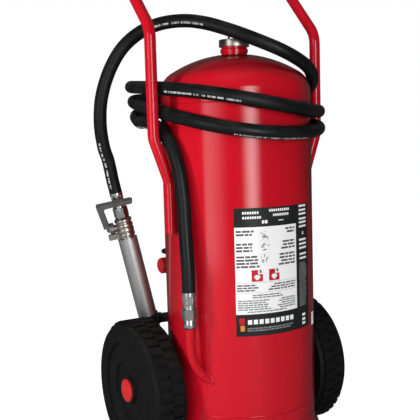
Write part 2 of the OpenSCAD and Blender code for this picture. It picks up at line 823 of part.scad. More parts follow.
module hub_cap() color(RED) {
    lip_t = 2.5;
    difference() {
        union() {
            translate([0, 0, hub_outer_x - 3]) cylinder(h = 3 + cut, r = counterbore_r - seat);
            translate([0, 0, hub_outer_x]) cylinder(h = lip_t, r = hub_cap_d / 2);
            translate([0, 0, hub_outer_x + lip_t])
                rotate_extrude() polygon(concat([[0, 0]], [for (i = [0:8]) let (a = i * 90 / 8)
                    [hub_cap_d / 2 * cos(a), (hub_cap_h - lip_t) * sin(a)]]));
        }
        translate([0, 0, hub_outer_x - 4]) cylinder(h = 7, r = counterbore_r - 3);
    }
}

module axle() {
    start_x = sqrt(pow(vessel_r, 2) - pow(axle_y + boss_d / 2, 2)) - 4;
    boss_end_x = inner_washer_x;
    difference() {
        union() {
            translate([0, 0, start_x])
                cylinder(h = boss_end_x - start_x, r1 = boss_d / 2, r2 = boss_tip_d / 2);
            translate([0, 0, boss_end_x]) cylinder(h = axle_end_x - boss_end_x, r = axle_r);
        }
        translate([0, 0, ring_x]) ring(axle_r + cut, axle_r - ring_groove, ring_t);
    }
}

module placed_axle() difference() {
    on_right_axle() axle();
    vessel_envelope();
}

module right_axle() color(GREY) placed_axle();
module left_axle() color(GREY) mirror([1, 0, 0]) placed_axle();

module axle_washers() color(STEEL) both_sides() on_right_axle() {
    translate([0, 0, inner_washer_x]) ring(washer_r, axle_r + seat, washer_t);
    translate([0, 0, outer_washer_x]) ring(washer_r, axle_r + seat, washer_t);
}

module retaining_rings() color(STEEL) both_sides() on_right_axle()
    translate([0, 0, ring_x + seat]) difference() {
        ring(axle_r + 3, axle_r - ring_groove + seat, ring_t - 2 * seat);
        translate([0, -3, -cut]) cube([axle_r + 4, 6, ring_t + 2 * cut]);
    }

module right_tyre() on_right_axle() tyre();
module left_tyre() on_left_axle() tyre();
module right_rim() on_right_axle() rim();
module left_rim() on_left_axle() rim();
module right_bush() on_right_axle() bush();
module left_bush() on_left_axle() bush();
module right_hub_cap() on_right_axle() hub_cap();
module left_hub_cap() on_left_axle() hub_cap();

// ---------------------------------------------------------------- outlet

module outlet_elbow() color(RED)
    swept_tube(outlet_points, outlet_bend_r, outlet_d / 2, outlet_bore_d / 2, [0, 1, 0.3], 20);

module pipe_collar() color(RED) translate(riser + [0, 0, collar_top_z - collar_h])
    ring(collar_d / 2, outlet_d / 2 + seat, collar_h);

module outlet_boss() color(RED) difference() {
    boss_wall = 2.2;
    from = 50;
    rod(outlet_points[1] + outlet_dir * from, outlet_points[2], outlet_d / 2 + boss_wall);
    rod(outlet_points[1] + outlet_dir * (from - cut), outlet_points[2] + outlet_dir * cut, outlet_d / 2 + seat);
    vessel_envelope();
}

module union_collar() color(STEEL) translate(riser + [0, 0, union_z]) difference() {
    union() {
        cylinder(h = 4, r1 = union_d / 2 - 3, r2 = union_d / 2);
        translate([0, 0, 4]) cylinder(h = union_h - 4, r = union_d / 2);
    }
    translate([0, 0, -cut]) cylinder(h = union_h + 2 * cut, r = outlet_bore_d / 2);
}

module union_washer() color(STEEL) translate(riser + [0, 0, union_washer_z])
    ring(union_d / 2 + 1.2, outlet_bore_d / 2, union_washer_t);

module outlet_nut() color(STEEL) translate(riser + [0, 0, outlet_nut_z]) difference() {
    intersection() {
        rotate(outlet_nut_turn) hexagon(hose_nut_af, hose_nut_h);
        chamfered_blank(hose_nut_af / sqrt(3), hose_nut_h, 1.6);
    }
    translate([0, 0, -cut]) cylinder(h = hose_nut_h + 2 * cut, r = outlet_bore_d / 2);
}

// Turned blank that takes the corners off a nut
module chamfered_blank(r, h, chamfer) {
    cylinder(h = chamfer, r1 = r - chamfer, r2 = r);
    translate([0, 0, chamfer]) cylinder(h = h - 2 * chamfer, r = r);
    translate([0, 0, h - chamfer]) cylinder(h = chamfer, r1 = r, r2 = r - chamfer);
}

// Crimped ferrule, its nut end at the origin and its hose end up
module ferrule(h) {
    difference() {
        union() {
            cylinder(h = h * 0.2, r = ferrule_tip_d / 2);
            translate([0, 0, h * 0.2]) cylinder(h = h * 0.6, r1 = ferrule_tip_d / 2, r2 = ferrule_r);
            translate([0, 0, h * 0.8]) cylinder(h = h * 0.2, r = ferrule_r);
        }
        for (i = [0:crimps - 1]) rotate(i * 360 / crimps)
            translate([ferrule_r + 0.2, 0, h * 0.25]) cylinder(h = h * 0.5, r = 1.6, $fn = 16);
        translate([0, 0, -cut]) cylinder(h = h + 2 * cut, r = outlet_bore_d / 2);
    }
}

module outlet_ferrule() color(STEEL) translate(riser + [0, 0, ferrule_z]) ferrule(ferrule_h);

// ---------------------------------------------------------------- hose pieces

module hose_riser() color(BLACK) swept_hose(riser_path, hose_sides, hose_r, [0, 0, 1], coil_first);
module hose_coil() color(BLACK) swept_hose(coil_path, loop_sides, hose_r, coil_first, coil_final);
module hose_arch() color(BLACK) swept_hose(arch_path, hose_sides, hose_r, coil_final, -lance_up());

// ---------------------------------------------------------------- valve and lance

module valve_ferrule() color(STEEL) in_valve_frame()
    translate([0, 0, valve_ferrule_z]) ferrule(valve_ferrule_h);

module valve_nut() color(STEEL) in_valve_frame() difference() {
    union() {
        translate([0, 0, valve_nut_z]) intersection() {
            hexagon(hose_nut_af, valve_nut_h);
            chamfered_blank(hose_nut_af / sqrt(3), valve_nut_h, 1.6);
        }
        translate([0, 0, tail_z]) cylinder(h = tail_h, r = ferrule_tip_d / 2 - 1.5);
    }
    translate([0, 0, valve_nut_z - cut]) cylinder(h = valve_nut_h + tail_h + 2 * cut, r = outlet_bore_d / 2);
}

module valve_body() color(NICKEL) in_valve_frame() difference() {
    union() {
        translate([0, 0, -valve_down]) cylinder(h = 5, r = valve_r - 2.5);
        translate([0, 0, 5 - valve_down]) cylinder(h = valve_down + 1, r = valve_r);
        translate([0, 0, 6]) cylinder(h = 6, r = valve_r - 1.5);
        translate([0, 0, 12]) cylinder(h = valve_up - 17, r = valve_r);
        translate([0, 0, valve_up - 5]) cylinder(h = 5, r1 = valve_r, r2 = valve_r - 3.5);
        rotate([0, -90, 0]) cylinder(h = bonnet_x, r = 8);
        translate([-bonnet_x - 16, -6, -valve_down + 2]) cube([bonnet_x + 4, 12, 11]);
    }
    for (z = [-12, -2]) translate([0, 0, z]) ring(valve_r + cut, valve_r - 1, 1.6);
    translate([0, 0, -valve_down - cut]) cylinder(h = valve_down + valve_up + 2 * cut, r = valve_bore_d / 2);
    sphere(r = ball_r + valve_clear);
    rotate([0, -90, 0]) cylinder(h = bonnet_x + cut, r = stem_r + valve_clear);
}

module valve_ball() color(STEEL) in_valve_frame() difference() {
    union() {
        sphere(r = ball_r);
        rotate([0, -90, 0]) cylinder(h = stem_tip_x, r = stem_r);
    }
    translate([0, 0, -ball_r - cut]) cylinder(h = 2 * (ball_r + cut), r = valve_bore_d / 2);
}

// Side view of the lever in its own plane: X towards the reach, Y away from the stem
module lever_outline() {
    arm_w = 11;
    inner_r = 9;
    foot_y = 6.5;
    bar_t = 6.5;
    difference() {
        union() {
            translate([-lever_side - arm_w / 2, foot_y]) square([arm_w, lever_l - foot_y]);
            translate([-lever_side - arm_w / 2, foot_y]) square([lever_side + arm_w / 2 - lever_hub_x, bar_t]);
            translate([-lever_side - arm_w / 2, lever_l - lever_w / 2])
                square([lever_side + lever_reach + arm_w / 2 - lever_w / 2, lever_w]);
            translate([lever_reach - lever_w / 2, lever_l]) circle(d = lever_w);
            translate([-lever_side + arm_w / 2, lever_l - lever_w / 2 - inner_r]) square([inner_r, inner_r]);
        }
        translate([-lever_side + arm_w / 2 + inner_r, lever_l - lever_w / 2 - inner_r]) circle(r = inner_r);
    }
}

module lever() color(GREY) in_valve_frame() rotate([lever_rest, 0, 0]) difference() {
    union() {
        rotate([90, 0, 0]) translate([0, 0, -lever_w / 2]) linear_extrude(height = lever_w) lever_outline();
        translate([-lever_hub_x, 0, 0]) rotate([0, -90, 0]) cylinder(h = lever_hub_t, r = lever_hub_r);
    }
    rotate([0, -90, 0]) cylinder(h = stem_tip_x + cut, r = stem_r + seat);
    translate([-lever_hub_x - lever_hub_t - seat, 0, 0])
        rotate([0, -90, 0]) cylinder(h = stem_nut_t + 4, r = lever_hub_r - 2.8);
}

module lever_nut() color(STEEL) in_valve_frame() rotate([lever_rest, 0, 0])
    translate([-lever_hub_x - lever_hub_t, 0, 0]) rotate([0, -90, 0]) difference() {
        hexagon(12, stem_nut_t);
        translate([0, 0, -cut]) cylinder(h = stem_nut_t + 2 * cut, r = stem_r + seat);
    }

module lance_tube() color([0.72, 0.72, 0.71]) in_lance_frame() difference() {
    translate([0, 0, -valve_down - lance_l]) cylinder(h = lance_l, r = lance_r);
    translate([0, 0, -valve_down - lance_l - cut]) cylinder(h = lance_l - lance_end_t + cut, r = lance_bore_r);
    translate([0, 0, -valve_down - lance_l]) cylinder(h = lance_l + cut, r = valve_bore_d / 2);
}

module foam_jet() color(NICKEL) in_lance_frame() translate([0, 0, -valve_down - lance_end_t - jet_t]) difference() {
    cylinder(h = jet_t, r = lance_bore_r - seat);
    translate([0, 0, -cut]) cylinder(h = jet_t / 2 + 2 * cut, r = 5);
    translate([0, 0, jet_t / 2]) cylinder(h = jet_t / 2 + cut, r = valve_bore_d / 2);
}

// Direction from the lance towards the vessel, in the lance's own frame
clip_turn = -47;

module lance_clip() color(BLACK) in_lance_frame() translate([0, 0, -clip_drop - clip_h / 2]) {
    inner = lance_r + 0.3;
    rotate(clip_turn + 180 + clip_mouth / 2)
        rotate_extrude(angle = 360 - clip_mouth) translate([inner, 0]) square([clip_t, clip_h]);
    for (side = [-1, 1]) rotate(clip_turn + 180 + side * clip_mouth / 2)
        translate([inner + clip_t, 0, 0]) cylinder(h = clip_h, r = clip_t / 2 + 0.5);
}

module clip_bracket() color(GREY) difference() {
    in_lance_frame() translate([0, 0, -clip_drop]) rotate(clip_turn)
        translate([lance_r + 0.3 + clip_t + seat, -3, -clip_h / 2 + 2]) union() {
            cube([60, 6, clip_h - 4]);
            translate([0, -7, 0]) cube([4, 20, clip_h - 4]);
        }
    vessel_envelope();
}

// ---------------------------------------------------------------- gas bottle

module gas_bottle() color(GREY) translate([0, bottle_y, 0]) rotate_extrude($fn = 96) polygon(concat(
    [[0, bottle_z], [bottle_r - 6, bottle_z]],
    arc([bottle_r - 6, bottle_z + 6], 6, -80, 0, 5),
    arc([bottle_r - bottle_shoulder, bottle_z + bottle_l], bottle_shoulder, 0, 80, 8),
    [[gas_valve_d / 2, bottle_top_z], [0, bottle_top_z]]
));

module bottle_shelf() color(RED) difference() {
    translate([0, 0, bottle_z - shelf_t]) union() {
        translate([0, bottle_y, 0]) cylinder(h = shelf_t, r = bottle_r - 6);
        translate([6 - bottle_r, vessel_r - 20, 0]) cube([2 * (bottle_r - 6), bottle_gap + bottle_r + 20, shelf_t]);
    }
    cylinder(h = lower_weld_z, r = vessel_r + seat);
}

module bottle_saddles() color(RED) for (z = band_levels) difference() {
    translate([-32, vessel_r - 10, z]) cube([64, 25, band_h]);
    vessel_envelope();
    translate([0, bottle_y, z - cut]) cylinder(h = band_h + 2 * cut, r = band_r + seat);
}

// Two ears beside the split of a band
ear_l = 16;
ear_t = 3;
split = 6;

module bottle_bands() color(STEEL) for (z = band_levels) translate([0, bottle_y, z]) difference() {
    union() {
        cylinder(h = band_h, r = band_r);
        translate([0, -split / 2 - ear_t, 0]) cube([band_r + ear_l, split + 2 * ear_t, band_h]);
    }
    translate([0, 0, -cut]) cylinder(h = band_h + 2 * cut, r = bottle_r + seat);
    translate([0, -split / 2, -cut]) cube([band_r + ear_l + cut, split, band_h + 2 * cut]);
    translate([band_r + ear_l / 2, 0, band_h / 2]) rotate([90, 0, 0])
        cylinder(h = split + 4 * ear_t, r = band_bolt_d / 2 + seat, center = true);
}

module band_bolts() color(STEEL) for (z = band_levels)
    translate([band_r + ear_l / 2, bottle_y - split / 2 - ear_t, z + band_h / 2]) rotate([-90, 0, 0]) {
        translate([0, 0, -4]) hexagon(10, 4);
        cylinder(h = split + 2 * ear_t + 7, r = band_bolt_d / 2);
        translate([0, 0, split + 2 * ear_t]) hexagon(10, 5);
    }

module bottle_valve() color(NICKEL) translate([0, bottle_y, 0]) difference() {
    union() {
        translate([0, 0, bottle_top_z]) cylinder(h = gas_valve_top_z - bottle_top_z, r = gas_valve_d / 2);
        translate([0, 0, handwheel_z]) rotate([0, -90, 0]) cylinder(h = bonnet_tip_x, r = 10);
        translate([0, 0, handwheel_z]) rotate([0, -90, 0]) translate([0, 0, 22]) hexagon(24, 14);
        translate([0, 0, gas_outlet_z]) rotate([0, -90, 0]) cylinder(h = gas_nut_x, r = 7.5);
        translate([0, 0, gas_outlet_z]) rotate([0, 90, 0]) translate([0, 0, 8]) hexagon(17, 14);
    }
    translate([0, 0, handwheel_z]) rotate([0, -90, 0]) translate([0, 0, 20])
        cylinder(h = bonnet_tip_x, r = spindle_r + valve_clear);
    translate([0, 0, gas_outlet_z]) rotate([0, -90, 0]) cylinder(h = gas_nut_x + cut, r = gas_bore_d / 2);
}

module handwheel() color(RED) translate([0, bottle_y, handwheel_z]) rotate([0, -90, 0]) {
    translate([0, 0, 20 + seat * 10]) cylinder(h = handwheel_x - 19, r = spindle_r);
    translate([0, 0, handwheel_x]) difference() {
        union() {
            cylinder(h = handwheel_t - 3, r = handwheel_d / 2);
            translate([0, 0, handwheel_t - 3]) cylinder(h = 3, r1 = handwheel_d / 2, r2 = handwheel_d / 2 - 3);
        }
        for (i = [0:handwheel_grips - 1]) rotate((i + 0.5) * 360 / handwheel_grips)
            translate([handwheel_d / 2 + 3.4, 0, -cut]) cylinder(h = handwheel_t + 2 * cut, r = 5, $fn = 24);
    }
}

module gas_nut() color(STEEL) translate([-gas_nut_x, bottle_y, gas_outlet_z]) rotate([0, -90, 0]) difference() {
    hexagon(19, gas_nut_t);
    translate([0, 0, -cut]) cylinder(h = gas_nut_t + 2 * cut, r = gas_bore_d / 2);
}

module gas_pipe() color(GREY) difference() {
    union() {
        bent_tube([
            [-gas_nut_x - gas_nut_t, bottle_y, gas_outlet_z],
            [-gas_line_x, bottle_y, gas_outlet_z],
            [-gas_line_x, 100, gas_outlet_z]
        ], gas_bend_r - 0.5, gas_pipe_d / 2, gas_bore_d / 2);
        translate([-gas_line_x, vessel_r, gas_outlet_z]) rotate([90, 0, 0]) ring(gas_pipe_d / 2 + 4, gas_pipe_d / 2 - cut, 40);
    }
    vessel_envelope();
}

// ---------------------------------------------------------------- nodes

vessel_shell();
foot_ring();
pickup_pipe();
filler_neck();
filler_cap();
cap_seal();
cap_relief();
handle_left();
handle_right();
handle_crossbar();
left_axle();
right_axle();
axle_washers();
retaining_rings();
left_tyre();
right_tyre();
left_rim();
right_rim();
left_bush();
right_bush();
left_hub_cap();
right_hub_cap();
outlet_elbow();
outlet_boss();
pipe_collar();
union_collar();
union_washer();
outlet_nut();
outlet_ferrule();
hose_riser();
hose_coil();
hose_arch();
valve_ferrule();
valve_nut();
valve_body();
valve_ball();
lever();
lever_nut();
lance_tube();
foam_jet();
lance_clip();
clip_bracket();
gas_bottle();
bottle_shelf();
bottle_saddles();
bottle_bands();
band_bolts();
bottle_valve();
handwheel();
gas_nut();
gas_pipe();
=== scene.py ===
"""Looks of a wheeled foam extinguisher: finishes, hose, handle, label and studio round its packed model."""

import json
import logging
import math
import random
from dataclasses import dataclass, field, replace
from enum import Enum
from typing import Callable, Iterable, Sequence

import bpy
from mathutils import Matrix, Vector


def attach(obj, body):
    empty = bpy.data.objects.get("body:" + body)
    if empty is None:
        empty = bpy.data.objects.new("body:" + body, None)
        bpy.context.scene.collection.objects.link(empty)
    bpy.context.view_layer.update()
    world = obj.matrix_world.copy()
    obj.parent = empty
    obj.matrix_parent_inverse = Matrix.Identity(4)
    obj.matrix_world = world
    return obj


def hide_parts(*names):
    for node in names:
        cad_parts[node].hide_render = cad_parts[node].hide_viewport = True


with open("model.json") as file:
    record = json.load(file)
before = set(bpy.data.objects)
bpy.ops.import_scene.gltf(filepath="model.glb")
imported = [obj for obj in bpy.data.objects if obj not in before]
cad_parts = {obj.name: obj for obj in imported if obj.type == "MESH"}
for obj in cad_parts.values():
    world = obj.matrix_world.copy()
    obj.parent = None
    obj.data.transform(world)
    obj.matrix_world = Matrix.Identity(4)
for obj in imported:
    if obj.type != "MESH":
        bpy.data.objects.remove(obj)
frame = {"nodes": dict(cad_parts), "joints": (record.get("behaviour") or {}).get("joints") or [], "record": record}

log = logging.getLogger("extinguisher")

Node = bpy.types.Node
Socket = bpy.types.NodeSocket
Tree = bpy.types.NodeTree
Pair = tuple[float, float]
Triple = tuple[float, float, float]

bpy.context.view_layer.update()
MM = 0.001
BLACK = (0.0, 0.0, 0.0, 1.0)
WHITE = (1.0, 1.0, 1.0, 1.0)
CHASSIS = "chassis"
# Where the wheels' axle lies behind the middle and above the floor, in metres.
AXLE = next(tuple(joint["pos_m"][1:]) for joint in frame["joints"] if joint["name"] == "left_wheel_spin")
# The ball valve's middle, in millimetres, and the lean of the valve and lance from upright, in degrees.
VALVE_SEAT = (-184.5, 150.0, 462.0)
LANCE_LEAN = 13.1


class Slot(Enum):
    """Material slots of the packed record."""

    RED_PAINT = "red_paint"
    GREY_PAINT = "grey_paint"
    RED_PLASTIC = "red_plastic"
    BLACK_PLASTIC = "black_plastic"
    TYRE = "tyre_rubber"
    HOSE = "hose_rubber"
    SEAL = "seal_rubber"
    BRIGHT_STEEL = "bright_steel"
    CHROME = "chromed_steel"
    DARK_STEEL = "dark_steel"
    NICKEL = "nickelled_brass"
    CASTING = "grey_casting"
    LANCE = "lance_aluminium"


# ---- shader nodes


class Desk:
    """One shader tree, with short ways to place and join its nodes."""

    def __init__(self, tree: Tree) -> None:
        """Clears the tree of a material, a light, the world or a group."""
        self.tree = tree
        self.tree.nodes.clear()

    def add(self, kind: str, values: dict | None = None, **settings: object) -> Node:
        """Places a node.

        Args:
            kind: the node's type name.
            values: input sockets to set or to join, by name or number.
            **settings: the node's own properties.

        Returns:
            The new node.
        """
        node = self.tree.nodes.new(kind)
        for name, value in settings.items():
            setattr(node, name, value)
        for name, value in (values or {}).items():
            if isinstance(value, Socket):
                self.tree.links.new(value, node.inputs[name])
            else:
                node.inputs[name].default_value = value
        return node

    def maths(self, operation: str, *values: object, clamp: bool = False) -> Socket:
        """Works on numbers or sockets in order; clamp keeps the result between 0 and 1."""
        numbered = dict(enumerate(values))
        return self.add("ShaderNodeMath", numbered, operation=operation, use_clamp=clamp).outputs[0]

    def vectors(self, operation: str, *values: object) -> Node:
        """Works on vectors or sockets in order, and gives the node."""
        return self.add("ShaderNodeVectorMath", dict(enumerate(values)), operation=operation)

    def blend(self, mask: object, first: object, second: object) -> Socket:
        """Mixes two colours: the first where the mask is 0, the second where it is 1."""
        return self.add("ShaderNodeMix", {0: mask, 6: first, 7: second}, data_type="RGBA").outputs[2]

    def ramp(self, value: Socket, low: float, high: float) -> Socket:
        """A smooth mask, from 0 where the value is low to 1 where it is high."""
        span = {"Value": value, "From Min": low, "From Max": high}
        return self.add("ShaderNodeMapRange", span, interpolation_type="SMOOTHSTEP").outputs["Result"]

    def noise(self, place: Socket, scale: object, detail: float) -> Socket:
        """Noise at these coordinates, with its scale per metre and its detail."""
        speckle = self.add("ShaderNodeTexNoise", {"Vector": place, "Scale": scale, "Detail": detail})
        return speckle.outputs["Fac"]

    def place(self) -> Socket:
        """The coordinates of the surface on its piece, in metres."""
        return self.add("ShaderNodeTexCoord").outputs["Object"]

    def ray(self, question: str) -> Socket:
        """What kind of ray looks at the surface: 1 where it is the one asked for."""
        return self.add("ShaderNodeLightPath").outputs[question]


def rgba(colour: Sequence[float]) -> tuple[float, float, float, float]:
    """Adds the alpha to a colour."""
    return (colour[0], colour[1], colour[2], 1.0)


class Effects:
    """Shader node groups that several finishes share, each built once.

    A span is where a mask begins and where it is full. A cloud is the scale and the detail of its noise.
    """

    colour, value, vector = "NodeSocketColor", "NodeSocketFloat", "NodeSocketVector"
    inputs: dict[str, dict[str, str]] = {
        "mottle": {"Colour": colour, "Second": colour, "Patch Scale": value, "Grain Scale": value},
        "scuffs": {"Amount": value},
        "dust": {"Amount": value},
        "turning": {"Scale": vector},
    }
    outputs: dict[str, dict[str, str]] = {
        "mottle": {"Colour": colour, "Mask": value, "Height": value},
        "scuffs": {"Mask": value},
        "dust": {"Mask": value},
        "turning": {"Height": value},
    }
    patch_detail, patch_span, grain_detail = 4.0, (0.35, 0.7), 2.0
    scratch_scale, scratch_span, scratch_detail = (260.0, 260.0, 24.0), (0.66, 0.72), 2.0
    cross_scale, cross_span, cross_turn = (40.0, 40.0, 420.0), (0.67, 0.73), (0.3, 0.2, 0.5)
    worn_cloud, worn_span, worn_height, worn_above = (9.0, 3.0), (0.5, 0.75), 0.2, 0.15
    dust_cloud, dust_span, dust_tilt = (30.0, 5.0), (0.35, 0.75), (0.1, 0.95)
    turning_detail = 3.0

    @classmethod
    def group(cls, name: str) -> Tree:
        """Finds a group, or builds it the first time that it is asked for.

        Args:
            name: the group's name.

        Returns:
            The group.
        """
        if name in bpy.data.node_groups:
            return bpy.data.node_groups[name]
        tree = bpy.data.node_groups.new(name, "ShaderNodeTree")
        for way, sockets in (("INPUT", cls.inputs[name]), ("OUTPUT", cls.outputs[name])):
            for label, kind in sockets.items():
                tree.interface.new_socket(name=label, in_out=way, socket_type=kind)
        desk = Desk(tree)
        made = getattr(cls, name)(desk, desk.add("NodeGroupInput").outputs)
        desk.add("NodeGroupOutput", dict(enumerate(made)))
        return tree

    @classmethod
    def mottle(cls, desk: Desk, given: dict[str, Socket]) -> tuple[Socket, ...]:
        """Broad patches between two colours, with a fine grain.

        Args:
            desk: the group's desk.
            given: the group's inputs.

        Returns:
            Colour, mask and height.
        """
        place = desk.place()
        mask = desk.ramp(desk.noise(place, given["Patch Scale"], cls.patch_detail), *cls.patch_span)
        grain = desk.noise(place, given["Grain Scale"], cls.grain_detail)
        return desk.blend(mask, given["Colour"], given["Second"]), mask, grain

    @classmethod
    def scuffs(cls, desk: Desk, given: dict[str, Socket]) -> tuple[Socket, ...]:
        """Fine crossing scratches, thicker below a height above the floor.

        Args:
            desk: the group's desk.
            given: the group's inputs.

        Returns:
            The mask.
        """
        place = desk.place()
        stretched = desk.add("ShaderNodeMapping", {"Vector": place, "Scale": cls.scratch_scale})
        turned = {"Vector": place, "Scale": cls.cross_scale, "Rotation": cls.cross_turn}
        crossing = desk.add("ShaderNodeMapping", turned)
        first, second = (
            desk.ramp(desk.noise(way.outputs[0], 1.0, cls.scratch_detail), *span)
            for way, span in ((stretched, cls.scratch_span), (crossing, cls.cross_span))
        )
        patch = desk.ramp(desk.noise(place, *cls.worn_cloud), *cls.worn_span)
        height = desk.add("ShaderNodeSeparateXYZ", {0: place}).outputs["Z"]
        fade = {"Value": height, "From Min": 0.0, "From Max": cls.worn_height, "To Min": 1.0}
        low = desk.add("ShaderNodeMapRange", {**fade, "To Max": cls.worn_above}).outputs["Result"]
        lines = desk.maths("MULTIPLY", desk.maths("MAXIMUM", first, second), patch)
        mask = desk.maths("MULTIPLY", lines, low)
        return (desk.maths("MULTIPLY", mask, given["Amount"], clamp=True),)

    @classmethod
    def dust(cls, desk: Desk, given: dict[str, Socket]) -> tuple[Socket, ...]:
        """Thin dust that gathers on faces that look up.

        Args:
            desk: the group's desk.
            given: the group's inputs.

        Returns:
            The mask.
        """
        up = desk.add("ShaderNodeSeparateXYZ", {0: desk.add("ShaderNodeNewGeometry").outputs["Normal"]})
        facing = desk.ramp(up.outputs["Z"], *cls.dust_tilt)
        cloud = desk.ramp(desk.noise(desk.place(), *cls.dust_cloud), *cls.dust_span)
        mask = desk.maths("MULTIPLY", facing, cloud)
        return (desk.maths("MULTIPLY", mask, given["Amount"], clamp=True),)

    @classmethod
    def turning(cls, desk: Desk, given: dict[str, Socket]) -> tuple[Socket, ...]:
        """The height of fine tool marks across one direction, from the given scale."""
        scaled = desk.vectors("MULTIPLY", desk.place(), given["Scale"])
        return (desk.noise(scaled.outputs[0], 1.0, cls.turning_detail),)


# ---- finishes


@dataclass(frozen=True)
class Finish:
    """A surface that one or more pieces wear."""

    name: str
    slot: Slot | None
    colour: Triple
    second: Triple
    roughness: float
    metallic: float = 0.0
    specular: float = 0.5
    coat: float = 0.0
    coat_roughness: float = 0.05
    patch_scale: float = 6.0
    grain_scale: float = 400.0
    grain_height: float = 0.02
    spread: float = 0.06
    scuffs: float = 0.0
    scuff_colour: Triple = (0.3, 0.3, 0.3)
    scuff_roughness: float = 0.3
    dust: float = 0.0
    dust_colour: Triple = (0.42, 0.4, 0.37)
    dust_roughness: float = 0.4
    # Painted shade: how far the colour darkens towards black where the surface turns away from the eye, and from
    # what facing on.
    edge: float = 0.0
    edge_shade_start: float = 0.25
    # Painted shade: how far the colour darkens where glossy faces reflect the surface.
    dim: float = 0.0
    # Own light of the finish: even brightness on the floor, painted light on the label's white print.
    glow: float = 0.0

    def _effect(self, desk: Desk, group: str, **values: object) -> Node:
        """Places one of the shared groups with its own values by name, with _ for a space."""
        named = {name.replace("_", " "): value for name, value in values.items()}
        return desk.add("ShaderNodeGroup", named, node_tree=Effects.group(group))

    def _height(self, desk: Desk, base: Node) -> Socket:
        """The relief of the finish; a kind of finish may add its own."""
        return base.outputs["Height"]

    def _tint(self, desk: Desk, colour: Socket) -> Socket:
        """The colour of the finish; a kind of finish may add its own."""
        return colour

    def _shine(self, desk: Desk) -> object:
        """The colour of the finish's own light; a kind of finish may tie it to what looks at it."""
        return WHITE

    def build(self) -> bpy.types.Material:
        """Makes the material, or finds it when it is there already.

        Returns:
            The material.
        """
        if self.name in bpy.data.materials:
            return bpy.data.materials[self.name]
        material = bpy.data.materials.new(self.name)
        material.use_nodes = True
        desk = Desk(material.node_tree)
        base = self._effect(
            desk, "mottle", Colour=rgba(self.colour), Second=rgba(self.second),
            Patch_Scale=self.patch_scale, Grain_Scale=self.grain_scale,
        )
        colour = self._tint(desk, base.outputs["Colour"])
        rough = desk.maths("MULTIPLY_ADD", base.outputs["Mask"], self.spread, self.roughness)
        for group, amount, worn, roughens in (
            ("scuffs", self.scuffs, self.scuff_colour, self.scuff_roughness),
            ("dust", self.dust, self.dust_colour, self.dust_roughness),
        ):
            if amount:
                mask = self._effect(desk, group, Amount=amount).outputs["Mask"]
                colour = desk.blend(mask, colour, rgba(worn))
                rough = desk.maths("MULTIPLY_ADD", mask, roughens, rough, clamp=True)
        # Painted shade: the colour turns darker towards the silhouette, where the surface faces away from the eye.
        if self.edge:
            aside = desk.ramp(desk.add("ShaderNodeLayerWeight").outputs["Facing"], self.edge_shade_start, 1.0)
            colour = desk.blend(desk.maths("MULTIPLY", aside, self.edge), colour, BLACK)
        # Painted shade: the surface is darker where glossy faces reflect it.
        if self.dim:
            mirrored = desk.maths("MULTIPLY", desk.ray("Is Glossy Ray"), self.dim)
            colour = desk.blend(mirrored, colour, BLACK)
        relief = {"Height": self._height(desk, base), "Strength": self.grain_height, "Distance": MM}
        bump = desk.add("ShaderNodeBump", relief)
        shader = desk.add(
            "ShaderNodeBsdfPrincipled",
            {
                "Base Color": colour,
                "Roughness": rough,
                "Normal": bump.outputs[0],
                "Metallic": self.metallic,
                "Specular IOR Level": self.specular,
                "Coat Weight": self.coat,
                "Coat Roughness": self.coat_roughness,
                "Emission Color": self._shine(desk),
                "Emission Strength": self.glow,
            },
        )
        desk.add("ShaderNodeOutputMaterial", {0: shader.outputs[0]})
        return material


@dataclass(frozen=True)
class TurnedFinish(Finish):
    """Metal with fine tool marks or drawing lines."""

    marks: Triple = (40.0, 40.0, 2500.0)
    mark_height: float = 0.7

    def _height(self, desk: Desk, base: Node) -> Socket:
        """Tool marks over the grain of the mottle group."""
        marks = self._effect(desk, "turning", Scale=self.marks).outputs["Height"]
        return desk.maths("MULTIPLY_ADD", marks, self.mark_height, base.outputs["Height"])


